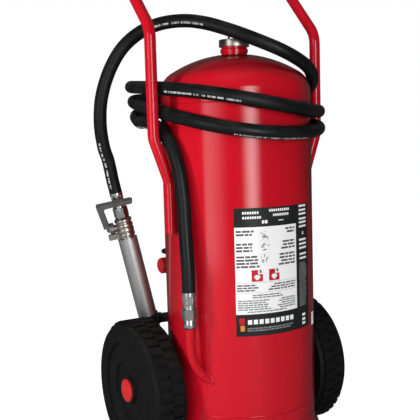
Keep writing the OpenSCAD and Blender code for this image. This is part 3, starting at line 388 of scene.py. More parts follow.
@dataclass(frozen=True)
class HoseFinish(Finish):
    """Smooth extruded hose cover with a line of pale printed dashes along it.

    Each phrase is the start and the length of a stretch of print, in metres. Each gap between its words
    is the middle and the half width of a blank, as shares of the phrase.
    """

    print_colour: Triple = (0.74, 0.76, 0.76)
    print_turn: float = 0.7
    print_half: float = 0.024
    print_strength: float = 0.7
    before: Pair = (-1.0, 0.1)
    phrases: tuple[Pair, ...] = (
        (0.3, 0.148), (0.8, 0.148), (1.252, 0.148), (1.75, 0.155), (2.2, 0.155), (2.65, 0.155), (3.1, 0.155),
        (3.935, 0.12), (4.31, 0.1),
    )
    gaps: tuple[Pair, ...] = ((0.19, 0.012), (0.4, 0.014), (0.57, 0.013), (0.9, 0.009))
    cells: float = 640.0
    blanks: float = 0.3

    def _tint(self, desk: Desk, colour: Socket) -> Socket:
        """Prints the dashes: U is the way along the hose in metres, V the way round it.

        Args:
            desk: the material's desk.
            colour: the bare cover.

        Returns:
            The printed cover.
        """
        place = desk.add("ShaderNodeUVMap", uv_map="UVMap").outputs[0]
        parts = desk.add("ShaderNodeSeparateXYZ", {0: place})
        along, round_it = parts.outputs["X"], parts.outputs["Y"]
        aside = desk.maths("ABSOLUTE", desk.maths("SUBTRACT", round_it, self.print_turn))
        mask = desk.maths("LESS_THAN", aside, self.print_half)
        last, length = self.before
        for (before, old), (start, new) in zip((self.before, *self.phrases), self.phrases):
            passed = desk.maths("GREATER_THAN", along, start)
            last = desk.maths("MULTIPLY_ADD", passed, start - before, last)
            length = desk.maths("MULTIPLY_ADD", passed, new - old, length)
        spot = desk.maths("DIVIDE", desk.maths("SUBTRACT", along, last), length)
        mask = desk.maths("MULTIPLY", mask, desk.maths("LESS_THAN", spot, 1.0))
        for middle, half in self.gaps:
            off = desk.maths("ABSOLUTE", desk.maths("SUBTRACT", spot, middle))
            mask = desk.maths("MULTIPLY", mask, desk.maths("GREATER_THAN", off, half))
        cell = desk.maths("FLOOR", desk.maths("MULTIPLY", along, self.cells))
        chance = desk.add("ShaderNodeTexWhiteNoise", {"W": cell}, noise_dimensions="1D").outputs["Value"]
        mask = desk.maths("MULTIPLY", mask, desk.maths("GREATER_THAN", chance, self.blanks))
        return desk.blend(desk.maths("MULTIPLY", mask, self.print_strength), colour, rgba(self.print_colour))


@dataclass(frozen=True)
class TyreFinish(Finish):
    """Moulded rubber with faint rings from its mould."""

    axle: Triple = (0.0, *AXLE)
    ring_rate: float = 1500.0
    ring_height: float = 0.12

    def _height(self, desk: Desk, base: Node) -> Socket:
        """Adds the rings of the mould round the axle.

        Args:
            desk: the material's desk.
            base: the mottle group.

        Returns:
            The relief.
        """
        centre = desk.vectors("SUBTRACT", desk.place(), self.axle)
        flat = desk.vectors("MULTIPLY", centre.outputs[0], (0.0, 1.0, 1.0))
        radius = desk.vectors("LENGTH", flat.outputs[0]).outputs["Value"]
        rings = desk.maths("SINE", desk.maths("MULTIPLY", radius, self.ring_rate))
        return desk.maths("MULTIPLY_ADD", rings, self.ring_height, base.outputs["Height"])


@dataclass(frozen=True)
class FloorFinish(Finish):
    """Pale paper that the camera sees as white, with the shadows left on it."""

    name: str = "pale_floor"
    slot: Slot | None = None
    colour: Triple = (0.62, 0.62, 0.62)
    second: Triple = (0.6, 0.6, 0.6)
    roughness: float = 0.7
    grain_scale: float = 80.0
    glow: float = 0.93
    mirrored: Triple = (0.25, 0.25, 0.25)

    def _tint(self, desk: Desk, colour: Socket) -> Socket:
        """Darkens the floor where glossy faces show it."""
        return desk.blend(desk.ray("Is Glossy Ray"), colour, rgba(self.mirrored))

    def _shine(self, desk: Desk) -> object:
        """Brightens the floor for the camera alone."""
        return desk.ray("Is Camera Ray")


class Palette:
    """All the finishes of the extinguisher."""

    # The red paint carries painted shade: darker at its silhouettes and in reflections on glossy faces.
    RED = Finish(
        "gloss_red_paint", Slot.RED_PAINT, (0.66, 0.007, 0.02), (0.6, 0.005, 0.017), 0.5,
        specular=0.01, coat=1.0, coat_roughness=0.13, patch_scale=4.0, grain_scale=700.0, grain_height=0.025,
        spread=0.05, scuffs=0.35, scuff_colour=(0.35, 0.02, 0.03), dust=0.03, edge=0.75, dim=0.72,
    )
    # The pipe paint carries less of the painted shade at its silhouettes.
    RED_PIPE = replace(RED, name="gloss_red_pipe_paint", edge=0.25)
    PRINT = Finish(
        "label_print", Slot.RED_PAINT, (0.95, 0.95, 0.95), (0.9, 0.9, 0.9), 0.5, specular=0.2, coat=0.1,
        coat_roughness=0.2, patch_scale=30.0, grain_scale=900.0, grain_height=0.03,
    )
    BOTTLE = Finish(
        "grey_bottle_paint", Slot.GREY_PAINT, (0.16, 0.165, 0.17), (0.12, 0.125, 0.13), 0.34,
        coat=0.6, coat_roughness=0.1, grain_scale=600.0, grain_height=0.04, scuffs=0.7, dust=0.1,
    )
    CAP_RED = Finish(
        "red_moulded_plastic", Slot.RED_PLASTIC, (0.68, 0.02, 0.02), (0.6, 0.015, 0.018), 0.4,
        grain_scale=900.0, grain_height=0.05, spread=0.1,
    )
    RIM = Finish(
        "black_moulded_plastic", Slot.BLACK_PLASTIC, (0.006, 0.0063, 0.0065), (0.009, 0.0093, 0.0095), 0.5,
        specular=0.2, grain_scale=1100.0, grain_height=0.12, spread=0.12, scuffs=0.5,
        scuff_colour=(0.07, 0.07, 0.07), dust=0.05,
    )
    TYRE = TyreFinish(
        "tyre_rubber_black", Slot.TYRE, (0.0065, 0.0065, 0.007), (0.01, 0.0097, 0.0095), 0.6, specular=0.2,
        grain_scale=700.0, grain_height=0.35, spread=0.16, scuffs=0.9, scuff_colour=(0.06, 0.058, 0.056),
        dust=0.03, patch_scale=14.0,
    )
    HOSE = HoseFinish(
        "hose_cover_black", Slot.HOSE, (0.007, 0.0075, 0.008), (0.011, 0.0115, 0.012), 0.36, specular=0.3,
        grain_scale=900.0, grain_height=0.08, spread=0.12, dust=0.05, patch_scale=16.0,
    )
    SEAL = Finish(
        "seal_rubber_black", Slot.SEAL, (0.012, 0.012, 0.012), (0.02, 0.02, 0.02), 0.6,
        grain_scale=800.0, grain_height=0.1,
    )
    STEEL = TurnedFinish(
        "zinc_steel", Slot.BRIGHT_STEEL, (0.78, 0.79, 0.8), (0.7, 0.71, 0.72), 0.22, metallic=1.0,
        grain_scale=500.0, grain_height=0.06, spread=0.08, scuffs=0.3, scuff_colour=(0.25, 0.25, 0.25),
    )
    CHROME = TurnedFinish(
        "polished_chrome", Slot.CHROME, (0.86, 0.87, 0.875), (0.78, 0.79, 0.795), 0.2, metallic=1.0,
        grain_scale=300.0, grain_height=0.05, spread=0.08, scuffs=0.15, scuff_colour=(0.35, 0.35, 0.35),
    )
    DARK = Finish(
        "blackened_steel", Slot.DARK_STEEL, (0.035, 0.035, 0.037), (0.05, 0.05, 0.052), 0.42, metallic=0.6,
        grain_scale=500.0, grain_height=0.15, spread=0.15, scuffs=0.5, scuff_colour=(0.16, 0.16, 0.16),
    )
    NICKEL = TurnedFinish(
        "nickelled_brass_turned", Slot.NICKEL, (0.76, 0.71, 0.65), (0.64, 0.59, 0.53), 0.26, metallic=1.0,
        grain_scale=400.0, grain_height=0.12, spread=0.16, scuffs=0.3, scuff_colour=(0.3, 0.27, 0.2),
    )
    CASTING = Finish(
        "grey_cast_metal", Slot.CASTING, (0.44, 0.43, 0.425), (0.31, 0.3, 0.3), 0.42, metallic=0.85,
        grain_scale=420.0, grain_height=0.45, spread=0.14, patch_scale=60.0, scuffs=0.3,
    )
    LANCE = TurnedFinish(
        "drawn_aluminium", Slot.LANCE, (0.87, 0.87, 0.86), (0.79, 0.79, 0.78), 0.45, metallic=1.0,
        grain_scale=500.0, grain_height=0.08, spread=0.1, scuffs=0.35, scuff_colour=(0.3, 0.3, 0.3),
        marks=(900.0, 900.0, 14.0),
    )


# Where finishes share a slot, the first of them dresses the packed nodes.
BY_SLOT: dict[str, Finish] = {
    finish.slot.value: finish
    for finish in reversed(tuple(vars(Palette).values()))
    if isinstance(finish, Finish)
}


# ---- mesh making


def evenly(first: float, last: float, steps: int) -> list[float]:
    """Numbers from the first to the last one in even steps."""
    return [first + (last - first) * i / steps for i in range(steps + 1)]


def turned(angle: float, axis: str) -> Matrix:
    """A turn by an angle in degrees about one of the axes X, Y and Z."""
    return Matrix.Rotation(math.radians(angle), 4, axis)


def on_shell(radius: float, turn: float, heights: Iterable[float]) -> list[Vector]:
    """An upright row of points on the shell at a turn from its front, from sizes in millimetres."""
    reach = radius * MM
    return [Vector((reach * math.sin(turn), -reach * math.cos(turn), z * MM)) for z in heights]


class Shape:
    """Mesh builder: gathers points and faces, and turns them into a piece."""

    def __init__(self) -> None:
        """Starts with nothing."""
        self.points: list[Vector] = []
        self.faces: list[tuple[int, ...]] = []
        self.uvs: list[tuple[Pair, ...]] = []

    def grid(
        self,
        rows: Sequence[Sequence[Vector]],
        us: Sequence[float],
        vs: Sequence[float],
        wrap: bool = False,
    ) -> None:
        """Adds a sheet of quads through rows of points.

        Args:
            rows: rows of points, all of the same length.
            us: the U of each row.
            vs: the V of each column, with one more value where the rows wrap.
            wrap: joins each row's last point to its first.
        """
        start = len(self.points)
        width = len(rows[0])
        for row in rows:
            self.points.extend(row)
        for i in range(len(rows) - 1):
            for j in range(width if wrap else width - 1):
                k = (j + 1) % width
                a, b = start + i * width, start + (i + 1) * width
                self.faces.append((a + j, a + k, b + k, b + j))
                u, next_u, v, next_v = us[i], us[i + 1], vs[j], vs[j + 1]
                self.uvs.append(((u, v), (u, next_v), (next_u, next_v), (next_u, v)))

    def lid(self, corners: Iterable[int]) -> None:
        """Closes an open end with a face through the points of these numbers."""
        self.faces.append(tuple(corners))
        self.uvs.append(((0.0, 0.0),) * len(self.faces[-1]))

    def piece(self, name: str, finish: Finish, smooth: float = 60.0) -> bpy.types.Object:
        """Makes the piece.

        Args:
            name: the piece's name.
            finish: what it wears.
            smooth: faces that meet at less than this angle, in degrees, are shaded as one.

        Returns:
            The new object.
        """
        mesh = bpy.data.meshes.new(name)
        mesh.from_pydata([tuple(p) for p in self.points], [], self.faces)
        layer = mesh.uv_layers.new(name="UVMap")
        for loop, uv in zip(layer.data, (uv for face in self.uvs for uv in face)):
            loop.uv = uv
        mesh.materials.append(finish.build())
        mesh.validate()
        mesh.shade_smooth()
        mesh.set_sharp_from_angle(angle=math.radians(smooth))
        made = bpy.data.objects.new(name, mesh)
        bpy.context.scene.collection.objects.link(made)
        return made


def frames_along(line: Sequence[Vector], first: Vector) -> list[tuple[Vector, Vector, Vector]]:
    """Untwisted frames along a line.

    Args:
        line: its points.
        first: the direction that the frames' first side keeps to at the start.

    Returns:
        Heading and two sides at each point.
    """
    last = len(line) - 1
    ways = [(line[min(i + 1, last)] - line[max(i - 1, 0)]).normalized() for i in range(last + 1)]
    side = (first - first.dot(ways[0]) * ways[0]).normalized()
    frames = []
    for way in ways:
        side = (side - side.dot(way) * way).normalized()
        frames.append((way, side, way.cross(side)))
    return frames


def add_tube(
    shape: Shape,
    line: Sequence[Vector],
    radius: float,
    sides: int,
    first: Vector,
    twist: Callable[[float], float] = lambda run: 0.0,
    lids: bool = True,
) -> None:
    """Adds a round tube.

    Args:
        shape: the mesh to add to.
        line: its centreline.
        radius: its radius.
        sides: corners of its section.
        first: where V is 0, at the start.
        twist: turns of the section after a run along the line, in metres.
        lids: whether its ends are closed.
    """
    run, us = 0.0, []
    for i, point in enumerate(line):
        run += (point - line[i - 1]).length if i else 0.0
        us.append(run)
    rows = []
    for point, run, (_, side, other) in zip(line, us, frames_along(line, first)):
        turns = [2 * math.pi * (k / sides + twist(run)) for k in range(sides)]
        rows.append([point + radius * (math.cos(a) * side + math.sin(a) * other) for a in turns])
    start = len(shape.points)
    shape.grid(rows, us, [k / sides for k in range(sides + 1)], wrap=True)
    if lids:
        end = start + (len(line) - 1) * sides
        shape.lid(range(start, start + sides)[::-1])
        shape.lid(range(end, end + sides))


def add_lathe(
    shape: Shape, outline: Sequence[Pair], place: Matrix, steps: int = 64, gap: float = 0.0
) -> None:
    """Adds a turned surface.

    Args:
        shape: the mesh to add to.
        outline: radius and height of each point, in metres, from the bottom outwards to the top.
        place: puts the local Z axis where the piece is turned.
        steps: faces round it.
        gap: half of the angle left open at the local X axis, in radians.
    """
    rows = []
    for radius, height in outline:
        turns = [gap + 2 * (math.pi - gap) * k / steps for k in range(steps + bool(gap))]
        rows.append([place @ Vector((radius * math.cos(a), radius * math.sin(a), height)) for a in turns])
    shape.grid(rows, [p[1] for p in outline], [k / steps for k in range(steps + 1)], wrap=not gap)


def rounded_route(corners: Sequence[Vector], bend: float, steps: int = 14) -> list[Vector]:
    """Straights joined by round bends.

    Args:
        corners: the route's corners.
        bend: radius of the bends.
        steps: points round each bend.

    Returns:
        Points along the route.
    """
    line = [corners[0]]
    for a, b, c in zip(corners, corners[1:], corners[2:]):
        u, w = (b - a).normalized(), (c - b).normalized()
        angle = u.angle(w)
        axis = u.cross(w).normalized()
        out = u.cross(axis)
        centre = b - u * bend * math.tan(angle / 2) - out * bend
        for t in evenly(0.0, angle, steps):
            line.append(centre + bend * (math.cos(t) * out + math.sin(t) * u))
    line.append(corners[-1])
    return line


def catmull(route: Sequence[Vector], steps: int) -> list[Vector]:
    """Smooth curve through a route's points.

    Args:
        route: the points.
        steps: new points between two of them.

    Returns:
        The curve's points.
    """
    last = len(route) - 1
    line = []
    for i in range(last):
        a, b, c, d = route[max(i - 1, 0)], route[i], route[i + 1], route[min(i + 2, last)]
        for s in range(steps):
            t = s / steps
            pull, swing = 2 * a - 5 * b + 4 * c - d, 3 * b - a - 3 * c + d
            line.append(0.5 * (2 * b + (c - a) * t + pull * t * t + swing * t**3))
    line.append(route[-1])
    return line


# ---- studio


@dataclass(frozen=True)
class SoftBox:
    """A soft box that faces the vessel, brightest along one line and dim at its sides.

    Its azimuth is its direction from the front, towards +X, in degrees. Its height is that of its middle.
    Its brightest line stands between 0, its left side, and 1, its right one.
    """

    name: str
    azimuth: float
    height: float
    distance: float
    size: Pair
    power: float
    bright: float = 0.5
    mirrored: bool = True
    aim: Triple = (0.0, 0.0, 0.55)

    def hang(self) -> None:
        """Hangs it up."""
        data = bpy.data.lights.new(self.name, "AREA")
        data.shape = "RECTANGLE"
        data.size, data.size_y = self.size
        data.energy = self.power
        data.use_nodes = True
        desk = Desk(data.node_tree)
        flat = desk.add("ShaderNodeNewGeometry").outputs["Parametric"]
        across = desk.add("ShaderNodeSeparateXYZ", {0: flat}).outputs[0]
        sides = desk.maths("MULTIPLY", *(desk.ramp(across, side, self.bright) for side in (0.0, 1.0)))
        glow = desk.add("ShaderNodeEmission", {"Strength": sides})
        desk.add("ShaderNodeOutputLight", {0: glow.outputs[0]})
        light = bpy.data.objects.new(self.name, data)
        light.visible_glossy = self.mirrored
        light.visible_camera = False
        a = math.radians(self.azimuth)
        light.location = (self.distance * math.sin(a), -self.distance * math.cos(a), self.height)
        light.rotation_euler = (Vector(self.aim) - light.location).to_track_quat("-Z", "Y").to_euler()
        bpy.context.scene.collection.objects.link(light)


@dataclass
class Studio:
    """Camera, soft boxes, pale floor and white surroundings."""

    eye: Triple = (-0.8912, -1.4364, 0.6773)
    heading: float = 31.82
    pitch: float = 6.19
    roll: float = -1.42
    lens: float = 71.7
    shift: float = -0.0669
    boxes: tuple[SoftBox, ...] = (
        SoftBox("softbox_left", -63.0, 0.8, 2.3, (1.8, 1.6), 20.0, 0.2),
        SoftBox("softbox_front", -10.5, 0.8, 2.6, (1.5, 1.6), 52.0),
        SoftBox("fill_left", -97.0, 1.1, 2.4, (0.3, 0.5), 62.0, mirrored=False),
        SoftBox("fill_top", -40.0, 3.0, 1.2, (1.6, 1.6), 20.0, mirrored=False),
    )
    wall: Pair = (0.25, 0.6)
    wall_glow: float = 0.06
    gloom: float = 0.01
    ambient: float = 0.16
    floor_reach: float = 60.0

    def camera(self) -> None:
        """Places the camera before the label's left side."""
        turn, dip, roll = (math.radians(v) for v in (self.heading, self.pitch, self.roll))
        ahead = Vector((math.sin(turn) * math.cos(dip), math.cos(turn) * math.cos(dip), -math.sin(dip)))
        level = Vector((math.cos(turn), -math.sin(turn), 0.0))
        above = level.cross(ahead)
        right = math.cos(roll) * level + math.sin(roll) * above
        up = right.cross(ahead)
        data = bpy.data.cameras.new("view")
        data.lens = self.lens
        data.shift_x = self.shift
        camera = bpy.data.objects.new("view", data)
        camera.matrix_world = Matrix.Translation(self.eye) @ Matrix((right, up, -ahead)).transposed().to_4x4()
        bpy.context.scene.collection.objects.link(camera)
        bpy.context.scene.camera = camera
        log.info("camera: %.1f mm lens", self.lens)

    def surroundings(self) -> None:
        """White to the eye, and mostly dark in reflections except low down behind the object."""
        world = bpy.data.worlds.new("surroundings")
        bpy.context.scene.world = world
        world.use_nodes = True
        desk = Desk(world.node_tree)
        way = desk.add("ShaderNodeTexCoord").outputs["Generated"]
        turn = math.radians(self.heading)
        facing = desk.vectors("DOT_PRODUCT", way, (math.sin(turn), math.cos(turn), 0.0)).outputs["Value"]
        glossy = desk.ray("Is Glossy Ray")
        mirrored = desk.maths("MULTIPLY_ADD", desk.ramp(facing, *self.wall), self.wall_glow, self.gloom)
        diffuse = desk.maths("MULTIPLY_ADD", glossy, -1.0, 1.0)
        glow = desk.maths("MULTIPLY_ADD", diffuse, self.ambient, desk.maths("MULTIPLY", mirrored, glossy))
        seen = desk.maths("MAXIMUM", glow, desk.ray("Is Camera Ray"))
        light = desk.add("ShaderNodeBackground", {"Color": WHITE, "Strength": seen})
        desk.add("ShaderNodeOutputWorld", {0: light.outputs[0]})

    def floor(self) -> None:
        """Lays a wide pale floor."""
        shape = Shape()
        reach = self.floor_reach
        rows = [[Vector((x * reach, y * reach, 0.0)) for x in (1, -1)] for y in (-1, 1)]
        shape.grid(rows, [0.0, 1.0], [0.0, 1.0])
        shape.piece("floor", FloorFinish())

    def build(self) -> None:
        """Sets up everything but the object and the camera."""
        self.surroundings()
        self.floor()
        for box in self.boxes:
            box.hang()
        bpy.context.scene.view_settings.view_transform = "Standard"
        log.info("studio: floor and %d soft boxes", len(self.boxes))


# ---- hose


@dataclass
class Hose:
    """The rubber hose from the outlet, round the vessel's shoulder and down to the valve.

    Each twist is a stretch of the hose, from and to in metres, and the turns that it adds.
    """

    diameter: float = 26.0
    sides: int = 28
    riser_start: Triple = (-158, -72, 357)
    riser: tuple[Triple, ...] = (
        (-158, -72, 390), (-157, -67, 430), (-156, -61, 480), (-155, -56, 530), (-157, -48, 580),
        (-161, -33, 622), (-165, -6, 652), (-168, 28, 670), (-168, 66, 676),
    )
    arch: tuple[Triple, ...] = (
        (170, 52, 730), (168, 6, 732), (162, -32, 741), (144, -65, 759), (117, -88, 776), (84, -99, 791),
        (49, -97, 807), (16, -84, 822), (-16, -62, 838), (-44, -37, 852), (-72, -9, 864), (-102, 20, 870),
        (-137, 50, 866), (-170, 76, 850), (-200, 96, 820), (-222, 112, 776), (-235, 124, 725),
        (-236, 133, 675), (-228, 140, 629), (-217, 145, 600),
    )
    smoothing: int = 6
    loop_radius: float = 168.0
    loop_rear: float = 102.0
    loop_rear_step: float = 7.0
    loop_bulge: float = 20.0
    loop_bulge_step: float = 7.0
    loop_pitch: float = 28.0
    loop_height: float = 658.5
    loop_wave: float = 26.5
    loop_wave_turn: float = 160.0
    loop_lift: float = 30.0
    loop_lift_turn: float = 35.0
    loop_lift_from: float = 1.5
    loop_start: float = 0.31
    loop_end: float = 2.70
    loop_rings: int = 24
    end_height: float = 74.0
    print_side: Triple = (-0.5, -1.0, 0.0)
    twists: tuple[Triple, ...] = ((2.85, 3.85, -0.12), (4.08, 4.3, 0.1))

    def loop_point(self, turns: float) -> Vector:
        """A point of the loops.

        Args:
            turns: turns from the middle of the front.

        Returns:
            The point, in millimetres.
        """
        t = 2 * math.pi * turns
        front = ((1 + math.cos(t - math.radians(self.loop_lift_turn))) / 2) ** 3
        behind = ((1 - math.cos(t)) / 2) ** 2
        bulge = (self.loop_bulge + self.loop_bulge_step * turns) * min(math.cos(t), 0.0) ** 2
        wave = self.loop_wave * math.cos(t - math.radians(self.loop_wave_turn))
        lift = self.loop_lift * (turns - self.loop_lift_from) * front
        return Vector((
            -(self.loop_radius + bulge) * math.sin(t),
            -self.loop_radius * math.cos(t) + (self.loop_rear + self.loop_rear_step * turns) * behind,
            self.loop_height + self.loop_pitch * turns + wave + lift,
        ))

    def route(self) -> list[Vector]:
        """The whole centreline.

        Returns:
            Its points, in metres, from the outlet to the valve.
        """
        steps = round((self.loop_end - self.loop_start) * self.loop_rings)
        span = (self.loop_end - self.loop_start) / steps
        loops = [self.loop_point(self.loop_start + span * i) for i in range(steps + 1)]
        lean = math.radians(LANCE_LEAN)
        up = Vector((-math.sin(lean), 0.0, math.cos(lean)))
        ends = [Vector(VALVE_SEAT) + up * (self.end_height + h) for h in (self.diameter, 0.0)]
        middle = [Vector(p) for p in self.riser] + loops + [Vector(p) for p in self.arch] + ends[:1]
        line = [Vector(self.riser_start)] + catmull(middle, self.smoothing) + ends[1:]
        return [p * MM for p in line]

    def twist(self, run: float) -> float:
        """How far the hose has twisted.

        Args:
            run: the run along it, in metres.

        Returns:
            The twist, in turns.
        """
        total = 0.0
        for start, stop, turns in self.twists:
            share = min(max((run - start) / (stop - start), 0.0), 1.0)
            total += turns * share * share * (3 - 2 * share)
        return total

    def build(self) -> None:
        line = self.route()
        shape = Shape()
        add_tube(shape, line, self.diameter / 2 * MM, self.sides, Vector(self.print_side), self.twist)
        hose = shape.piece("hose", Palette.HOSE)
        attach(hose, CHASSIS)
        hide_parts("hose_riser", "hose_coil", "hose_arch")


# ---- welded steelwork


def ripple(shape: Shape, start: int, line: Sequence[Vector], sides: int, depth: float, rate: float) -> None:
    """Swells and narrows a tube along its run, as a weld bead does.

    Args:
        shape: the mesh that holds the tube.
        start: number of the tube's first point.
        line: its centreline.
        sides: corners of its section.
        depth: how far it swells, as a share of its radius.
        rate: angle of the ripple from one point of the centreline to the next, in radians.
    """
    for i, middle in enumerate(line):
        swell = 1.0 + depth * math.sin(rate * i)
        for n in range(start + sides * i, start + sides * (i + 1)):
            shape.points[n] = middle + (shape.points[n] - middle) * swell


@dataclass
class PushHandle:
    """The bent tube handle and the weld seams at its feet."""

    radius: float = 11.0
    bore: float = 9.0
    bore_depth: float = 30.0
    bore_point: float = 0.1
    sides: int = 40
    x: float = 191.0
    leg_x: float = 160.57
    front: float = -12.5
    heights: tuple[float, float, float, float] = (464.0, 560.0, 645.0, 850.0)
    grip_height: float = 1000.0
    lean: float = 44.0
    bend: float = 50.0
    seam_ends: Pair = (4.0, -14.0)
    seam_angle: float = 0.036
    seam_reach: float = 151.2
    seam_sway: Pair = (0.25, 1.9)
    seam_radius: float = 2.3
    seam_ripple: Pair = (0.16, 1.7)
    seam_steps: int = 60
    seam_sides: int = 10
    smooth: float = 35.0

    def corners(self) -> list[Vector]:
        """The corners of the tube.

        Returns:
            Its corners from the left foot to the right one, in millimetres.
        """
        low, spread_low, spread_high, bend = self.heights
        back = self.front + (self.grip_height - bend) * math.tan(math.radians(self.lean))
        side = [
            Vector((self.leg_x, self.front, low)),
            Vector((self.leg_x, self.front, spread_low)),
            Vector((self.x, self.front, spread_high)),
            Vector((self.x, self.front, bend)),
            Vector((self.x, back, self.grip_height)),
        ]
        return [Vector((-p.x, p.y, p.z)) for p in side] + side[::-1]

    def tube(self) -> None:
        """Bends the tube in one length, hollow at its open feet."""
        line = [p * MM for p in rounded_route(self.corners(), self.bend)]
        shape = Shape()
        add_tube(shape, line, self.radius * MM, self.sides, Vector((0.0, -1.0, 0.0)), lids=False)
        bore, depth = self.bore * MM, self.bore_depth * MM
        outline = [(self.radius * MM, 0.0), (bore, 0.0), (bore, depth), (self.bore_point * MM, depth)]
        for start, inward in ((line[0], line[1]), (line[-1], line[-2])):
            way = (inward - start).normalized()
            place = Matrix.Translation(start) @ way.to_track_quat("Z", "Y").to_matrix().to_4x4()
            add_lathe(shape, outline, place, self.sides)
        handle = shape.piece("push_handle", Palette.RED_PIPE, self.smooth)
        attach(handle, CHASSIS)
        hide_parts("handle_left", "handle_right", "handle_crossbar")

    def seam_line(self, sign: int, side: int) -> list[Vector]:
        """The middle of one seam, in metres.

        Args:
            sign: -1 for the left foot and 1 for the right one.
            side: -1 in front of the foot and 1 behind it.

        Returns:
            The seam's points, from its lower end.
        """
        low, high = (self.heights[i] + end for i, end in enumerate(self.seam_ends))
        angle = math.atan2(self.front, self.leg_x) + side * self.seam_angle
        sway, rate = self.seam_sway
        line = []
        for i, z in enumerate(evenly(low, high, self.seam_steps)):
            y = self.seam_reach * math.sin(angle) + sway * math.sin(i * rate)
            line.append(Vector((sign * self.seam_reach * math.cos(angle), y, z)) * MM)
        return line

    def seams(self) -> None:
        """Runs a rippled weld along both sides of each foot."""
        for name, sign in (("left", -1), ("right", 1)):
            shape = Shape()
            for side in (-1, 1):
                start, line = len(shape.points), self.seam_line(sign, side)
                add_tube(shape, line, self.seam_radius * MM, self.seam_sides, Vector((1.0, 0.0, 0.0)))
                ripple(shape, start, line, self.seam_sides, *self.seam_ripple)
            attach(shape.piece(f"{name}_foot_weld", Palette.RED), CHASSIS)

    def build(self) -> None:
        """Makes the handle and its welds."""
        self.tube()
        self.seams()
        log.info("push handle: one tube, four weld seams")


@dataclass
class OutletPipe:
    """The painted outlet pipe, and the weld where it enters the shell."""

    x: float = -158.0
    y: float = -72.0
    top: float = 286.0
    level: float = 198.0
    turn: float = 12.0
    slope: float = 24.0
    run: float = 66.0
    bend: float = 80.0
    bend_steps: int = 40
    radius: float = 9.0
    sides: int = 36
    shell: float = 150.0
    bead: float = 2.6
    bead_sides: int = 12
    bead_steps: int = 60
    bead_ripple: Pair = (0.14, math.pi / 2)
    patch_lift: float = 0.12
    patch_turns: Pair = (-74.0, -42.0)
    patch_steps: int = 16
    patch_heights: Pair = (148.0, 206.0)
    smooth: float = 40.0

    def entry(self, line: Sequence[Vector], angle: float) -> Vector:
        """Where one side of the pipe meets the shell.

        Args:
            line: the pipe's centreline, in metres.
            angle: the side's place round the pipe, in radians.

        Returns:
            The point, in metres.
        """
        frames = frames_along(line, Vector((0.0, -1.0, 0.0)))
        out = [math.cos(angle) * side + math.sin(angle) * other for _, side, other in frames]
        walls = [p + self.radius * MM * way for p, way in zip(line, out)]
        reach = [math.hypot(p.x, p.y) for p in walls]
        last = next(i for i, far in enumerate(reach) if far < self.shell * MM)
        share = (reach[last - 1] - self.shell * MM) / (reach[last - 1] - reach[last])
        return walls[last - 1].lerp(walls[last], share)

    def weld(self, line: Sequence[Vector]) -> None:
        """Runs a rippled weld round the pipe, on a flush patch of the shell.

        Args:
            line: the pipe's centreline, in metres.
        """
        ring = [self.entry(line, 2 * math.pi * k / self.bead_steps) for k in range(self.bead_steps + 2)]
        shape = Shape()
        add_tube(shape, ring, self.bead * MM, self.bead_sides, Vector((0.0, 0.0, 1.0)))
        ripple(shape, 0, ring, self.bead_sides, *self.bead_ripple)
        rows = [
            on_shell(self.shell + self.patch_lift, math.radians(turn), self.patch_heights)
            for turn in evenly(*self.patch_turns, self.patch_steps)
        ]
        shape.grid(rows, [0.0] * len(rows), [0.0, 1.0])
        weld = shape.piece("outlet_weld", Palette.RED_PIPE)
        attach(weld, CHASSIS)
        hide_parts("outlet_boss")

    def build(self) -> None:
        """Bends the pipe and welds it in."""
        turn, slope = math.radians(self.turn), math.radians(self.slope)
        way = Vector((math.cos(turn) * math.cos(slope), -math.sin(turn) * math.cos(slope), -math.sin(slope)))
        corner = Vector((self.x, self.y, self.level))
        route = [Vector((self.x, self.y, self.top)), corner, corner + way * self.run]
        line = [p * MM for p in rounded_route(route, self.bend, self.bend_steps)]
        shape = Shape()
        add_tube(shape, line, self.radius * MM, self.sides, Vector((0.0, -1.0, 0.0)))
        pipe = shape.piece("outlet_pipe", Palette.RED_PIPE, self.smooth)
        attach(pipe, CHASSIS)
        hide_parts("outlet_elbow")
        self.weld(line)
        log.info("outlet pipe: one bend, one weld")


# ---- valve


@dataclass
class ValveTrim:
    """Turned bands round the ball valve's body.

    Each band is its lower and upper edge, and half of the angle that it leaves open for the stem.
    """

    radius: float = 16.6
    bulge: float = 1.5
    stem_turn: float = 148.2
    bands: tuple[Triple, ...] = (
        (-18.5, -12.4, 16.0), (-10.2, -2.2, 16.0), (-0.2, 7.4, 16.0), (11.6, 17.6, 0.0),
    )
    steps: int = 8

    def build(self) -> None:
        """Turns the bands."""
        lean, stem = turned(-LANCE_LEAN, "Y"), turned(self.stem_turn, "Z")
        place = Matrix.Translation(Vector(VALVE_SEAT) * MM) @ lean @ stem
        shape = Shape()
        for low, high, gap in self.bands:
            outline = []
            for a in evenly(0.0, math.pi, self.steps):
                reach = self.radius + self.bulge * math.sin(a) ** 0.5
                outline.append((reach * MM, (low + (high - low) * (1.0 - math.cos(a)) / 2) * MM))
            add_lathe(shape, outline, place, gap=math.radians(gap))
        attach(shape.piece("valve_bands", Palette.NICKEL), CHASSIS)
        log.info("valve: %d turned bands", len(self.bands))


# ---- label


class Ink(Enum):
    """What a patch of the label is printed in: its piece's name and its two colours."""

    DARK = ("label_dark", (0.018, 0.02, 0.019), (0.022, 0.024, 0.023))
    WHITE = ("label_white", (0.97, 0.97, 0.97), (0.95, 0.95, 0.95))
    BLACK = ("label_black_ink", (0.1, 0.1, 0.1), (0.15, 0.15, 0.15))
    PALE = ("label_pale_ink", (0.6, 0.61, 0.61), (0.64, 0.65, 0.65))
    RED = ("label_red_ink", (0.65, 0.012, 0.022), (0.6, 0.01, 0.02))
    GREY = ("label_grey_ink", (0.24, 0.25, 0.25), (0.3, 0.31, 0.31))
    AMBER = ("label_amber_ink", (0.8, 0.3, 0.05), (0.75, 0.26, 0.04))


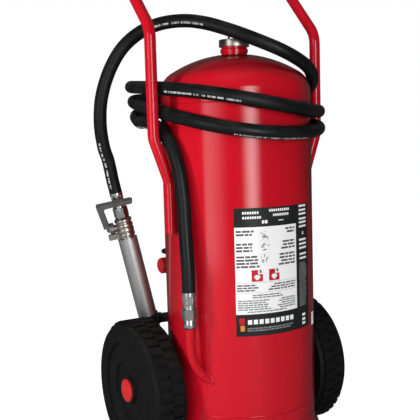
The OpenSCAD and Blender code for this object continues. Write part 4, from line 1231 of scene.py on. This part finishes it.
@dataclass
class Label:
    """A plain label on the front of the shell: fields, blocks and bars, with no lettering.

    Its tables are in millimetres: along the shell from its front to the right, and above the floor.
    A block is its ink, left, right, low and high side, and its lift off the shell where that is its own.
    Bars of one kind are their left and right side, their height and their low sides. A row of marks is
    its left end, count, step, width, low and high side. A paragraph is its ink, left and right end, the
    top of its first line, its lines and their pitch, and whether their left ends are the uneven ones. A
    sketch or a warning is its left and low side.
    """

    radius: float = 150.0
    seed: int = 11
    seed_steps: Pair = (7, 3)
    arc_step: float = 3.0
    stroke: float = 0.6
    word: Pair = (0.9, 2.8)
    word_gap: float = 0.3
    shortest: float = 0.6
    uneven: float = 0.28
    sketch_size: float = 22.0
    sketch_line: float = 0.4
    frame_lift: float = 0.2
    sketch_strokes: int = 14
    sketch_x: Pair = (0.08, 0.7)
    sketch_z: Pair = (0.12, 0.8)
    stroke_wide: float = 1.2
    stroke_long: Pair = (2.5, 6.0)
    # Painted light: how brightly the white print glows of its own.
    white_painted_light: float = 0.12
    blocks: tuple[tuple, ...] = (
        (Ink.DARK, -92, 84, 270, 513, 0.08), (Ink.WHITE, -91.5, 39.5, 312, 477, 0.14),
        (Ink.WHITE, -39, -34, 483, 489), (Ink.WHITE, -33, -27.5, 483, 489),
        (Ink.WHITE, 60, 64, 453, 459), (Ink.WHITE, 50, 74, 413.6, 417.6), (Ink.WHITE, 50, 74, 405.4, 409.4),
        (Ink.RED, -86, -76, 293, 305), (Ink.AMBER, -84, -76, 280, 291), (Ink.WHITE, 100, 118, 264, 290, 0.1),
        (Ink.GREY, -91, 39, 371.6, 372.2), (Ink.GREY, -91, 39, 352.6, 353.2),
    )
    bars: tuple[tuple, ...] = (
        (49, 75, 3.8, (507, 499, 491.6, 482.4, 475.4, 467.4, 441.4, 433.4, 425.4)),
        (56, 67, 5, (293, 284, 276)),
    )
    marks: tuple[tuple, ...] = (
        (-76, 7, 4.6, 3.3, 501.5, 506.1), (-76, 8, 4.6, 3.3, 492.5, 497.1), (-24, 10, 4.6, 3.3, 504.5, 509.1),
        (-16, 8, 4.6, 3.3, 495.5, 500.1), (-70, 9, 11.2, 8.0, 292.5, 301.5),
    )
    paragraphs: tuple[tuple, ...] = (
        (Ink.WHITE, -5, 7, 488, 1, 3, True),
        (Ink.BLACK, -89, -54, 471, 2, 6.2, False), (Ink.BLACK, 7, 35, 472, 2, 6.2, True),
        (Ink.BLACK, -89, -50, 447, 3, 6.2, False), (Ink.BLACK, -6, 35, 448, 3, 6.2, True),
        (Ink.BLACK, -89, -42, 423, 4, 6.2, False), (Ink.BLACK, -10, 35, 424, 4, 6.2, True),
        (Ink.BLACK, -89, -40, 368.5, 3, 4.8, False), (Ink.BLACK, -31, 35, 368.5, 3, 4.8, True),
        (Ink.GREY, -60, 10, 349, 2, 4.2, False), (Ink.GREY, -88, -22, 339, 5, 4.2, False),
        (Ink.GREY, -14, 34, 339, 5, 4.2, True), (Ink.GREY, -70, 20, 317.5, 1, 4.0, False),
        (Ink.GREY, 49, 76, 399, 3, 3.6, False), (Ink.GREY, 48, 78, 388, 21, 3.6, False),
        (Ink.GREY, -71, 30, 286, 2, 4.2, False),
    )
    sketches: tuple[Pair, ...] = ((-44.5, 451), (-44.5, 427), (-44.5, 403))
    warnings: tuple[Pair, ...] = ((-61, 374), (-26.5, 374))
    warning_parts: tuple[tuple, ...] = (
        (Ink.RED, 0, 22, 0, 22, 0.18), (Ink.PALE, 12.5, 22.5, 13.5, 24.5, 0.24),
        (Ink.WHITE, 8.5, 13.5, 3, 5.4), (Ink.WHITE, 6, 16, 5.4, 7.8),
        (Ink.WHITE, 5, 17, 7.8, 10.2), (Ink.WHITE, 7, 15, 10.2, 12.6),
        (Ink.WHITE, 13, 22, 14, 24, 0.28), (Ink.BLACK, 15.5, 19.5, 16, 22, 0.32),
    )
    patches: dict[Ink, list[tuple]] = field(default_factory=lambda: {ink: [] for ink in Ink})

    def patch(self, ink: Ink, left: float, right: float, low: float, high: float, lift: float = 0.22) -> None:
        """Notes a patch: its sides along the shell, its heights and its lift, in millimetres."""
        self.patches[ink].append((left, right, low, high, lift))

    def paragraph(
        self, ink: Ink, left: float, right: float, top: float, lines: int, pitch: float, ragged_left: bool
    ) -> None:
        """Breaks lines of print into word-like bars.

        Args:
            ink: its ink.
            left: left end.
            right: right end.
            top: height of the first line.
            lines: how many lines.
            pitch: distance between them.
            ragged_left: whether the lines' left ends are the uneven ones.
        """
        across, up = self.seed_steps
        chance = random.Random(self.seed + round(left * across + top * up))
        for i in range(lines):
            spare = (right - left) * chance.uniform(0.0, self.uneven)
            x, end = (left + spare, right) if ragged_left else (left, right - spare)
            z = top - i * pitch
            while x < end:
                bar = min(chance.uniform(*self.word) * pitch, end - x)
                if bar > self.shortest:
                    self.patch(ink, x, x + bar, z - self.stroke * pitch, z)
                x += bar + self.word_gap * pitch

    def sketch(self, left: float, low: float) -> None:
        """Draws a framed sketch of a few strokes.

        Args:
            left: the frame's left side.
            low: the frame's lower side.
        """
        chance = random.Random(self.seed + round(low))
        size, line, wide = self.sketch_size, self.sketch_line, self.stroke_wide
        right, high = left + size, low + size
        for sides in ((left, right, low, low + line), (left, right, high - line, high),
                      (left, left + line, low, high), (right - line, right, low, high)):
            self.patch(Ink.PALE, *sides, self.frame_lift)
        for _ in range(self.sketch_strokes):
            x, z = left + size * chance.uniform(*self.sketch_x), low + size * chance.uniform(*self.sketch_z)
            if chance.random() < 0.5:
                self.patch(Ink.BLACK, x, x + chance.uniform(*self.stroke_long), z, z + wide)
            else:
                self.patch(Ink.BLACK, x, x + wide, z, z + chance.uniform(*self.stroke_long))

    def layout(self) -> None:
        """Lays out the label from its tables."""
        for block in self.blocks:
            self.patch(*block)
        for left, right, tall, lows in self.bars:
            for low in lows:
                self.patch(Ink.WHITE, left, right, low, low + tall)
        for left, count, step, wide, low, high in self.marks:
            for i in range(count):
                self.patch(Ink.WHITE, left + i * step, left + i * step + wide, low, high)
        for row in self.paragraphs:
            self.paragraph(*row)
        for row in self.sketches:
            self.sketch(*row)
        for x, z in self.warnings:
            for ink, left, right, low, high, *lift in self.warning_parts:
                self.patch(ink, x + left, x + right, z + low, z + high, *lift)

    def build(self) -> None:
        """Prints the label as thin films on the shell."""
        self.layout()
        for ink, patches in self.patches.items():
            shape = Shape()
            for left, right, low, high, lift in patches:
                steps = max(2, round((right - left) / self.arc_step))
                places = evenly(left, right, steps)
                rows = [on_shell(self.radius + lift, place / self.radius, (low, high)) for place in places]
                shape.grid(rows, places, [low, high])
            name, first, second = ink.value
            # Painted light: the white print glows a little of its own.
            glow = self.white_painted_light if ink is Ink.WHITE else 0.0
            finish = replace(Palette.PRINT, name=name, colour=first, second=second, glow=glow)
            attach(shape.piece(name, finish), CHASSIS)
        log.info("label: %d patches in %d inks", sum(map(len, self.patches.values())), len(self.patches))


# ---- wheels


@dataclass
class WheelTrim:
    """Moulded rings on the tyre's side and the wheel's face.

    A ring is the distance of its seat from the middle plane, its radius, width and height, and 1 where
    it faces outwards, -1 inwards.
    """

    steps: int = 8
    faces: int = 96
    sink: float = 0.2
    outwards: float = 90.0
    tyre_rings: tuple[tuple, ...] = (
        (227.0, 121.0, 2.4, 0.9, 1), (227.0, 103.0, 4.0, 1.1, 1), (161.0, 121.0, 2.4, 0.9, -1),
    )
    rim_rings: tuple[tuple, ...] = ((224.0, 92.0, 5.0, 1.6, 1), (224.0, 61.5, 3.0, 1.0, 1))

    def ring(
        self, shape: Shape, side: int, x: float, radius: float, width: float, height: float, out: int
    ) -> None:
        """Adds a low rounded ring.

        Args:
            shape: the mesh to add to.
            side: -1 for the left wheel and 1 for the right one.
            x: distance of its seat from the middle plane.
            radius: its radius.
            width: its width.
            height: how far it stands out.
            out: 1 where it faces outwards, -1 inwards.
        """
        place = Matrix.Translation((side * x * MM, *AXLE))
        outline = [
            ((radius + width / 2 * math.cos(a)) * MM, (height * math.sin(a) - self.sink) * MM)
            for a in evenly(0.0, math.pi, self.steps)
        ]
        add_lathe(shape, outline, place @ turned(self.outwards * side * out, "Y"), self.faces)

    def build(self) -> None:
        """Makes the rings of both wheels."""
        for name, side in (("left", -1), ("right", 1)):
            for part, rings, finish in (
                ("tyre", self.tyre_rings, Palette.TYRE), ("rim", self.rim_rings, Palette.RIM),
            ):
                shape = Shape()
                for row in rings:
                    self.ring(shape, side, *row)
                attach(shape.piece(f"{name}_{part}_rings", finish), f"{name}_wheel")
        log.info("wheel trim: rings on both wheels")


# ---- carried-over nodes


@dataclass
class Dressing:
    """Gives each node of the packed model its finish, and some of them soft edges."""

    weld_distance: float = 0.01
    segments: int = 2
    sharp: float = 35.0
    bevels: dict[str, float] = field(default_factory=lambda: {
        "lever": 1.2, "outlet_nut": 0.5, "valve_nut": 0.5, "filler_cap": 0.6, "union_collar": 0.5,
        "left_rim": 0.8, "right_rim": 0.8, "clip_bracket": 0.5, "bottle_shelf": 0.8, "bottle_saddles": 1.0,
        "handwheel": 0.6, "gas_nut": 0.5,
    })

    def bevel(self, node: bpy.types.Object, width: float) -> None:
        """Rounds a node's edges.

        Args:
            node: the node's object.
            width: width of the rounding, in millimetres.
        """
        weld = node.modifiers.new("weld", "WELD")
        weld.merge_threshold = self.weld_distance * MM
        bevel = node.modifiers.new("edges", "BEVEL")
        bevel.width = width * MM
        bevel.segments = self.segments
        bevel.limit_method = "ANGLE"
        bevel.angle_limit = math.radians(self.sharp)
        bevel.harden_normals = False

    def build(self) -> None:
        """Dresses every node."""
        slots = {row["node"]: row["material_slot"] for row in frame["record"]["subparts"]}
        for name, node in frame["nodes"].items():
            node.data.materials.clear()
            node.data.materials.append(BY_SLOT[slots[name]].build())
            if name in self.bevels:
                self.bevel(node, self.bevels[name])
        log.info("dressed %d nodes", len(frame["nodes"]))


def main() -> None:
    """Builds the scene in order, camera and hose first."""
    logging.basicConfig(level=logging.INFO, format="%(name)s: %(message)s")
    studio = Studio()
    studio.camera()
    Hose().build()
    studio.build()
    for part in (Dressing(), PushHandle(), OutletPipe(), ValveTrim(), Label(), WheelTrim()):
        part.build()


if __name__ == "__main__":
    main()
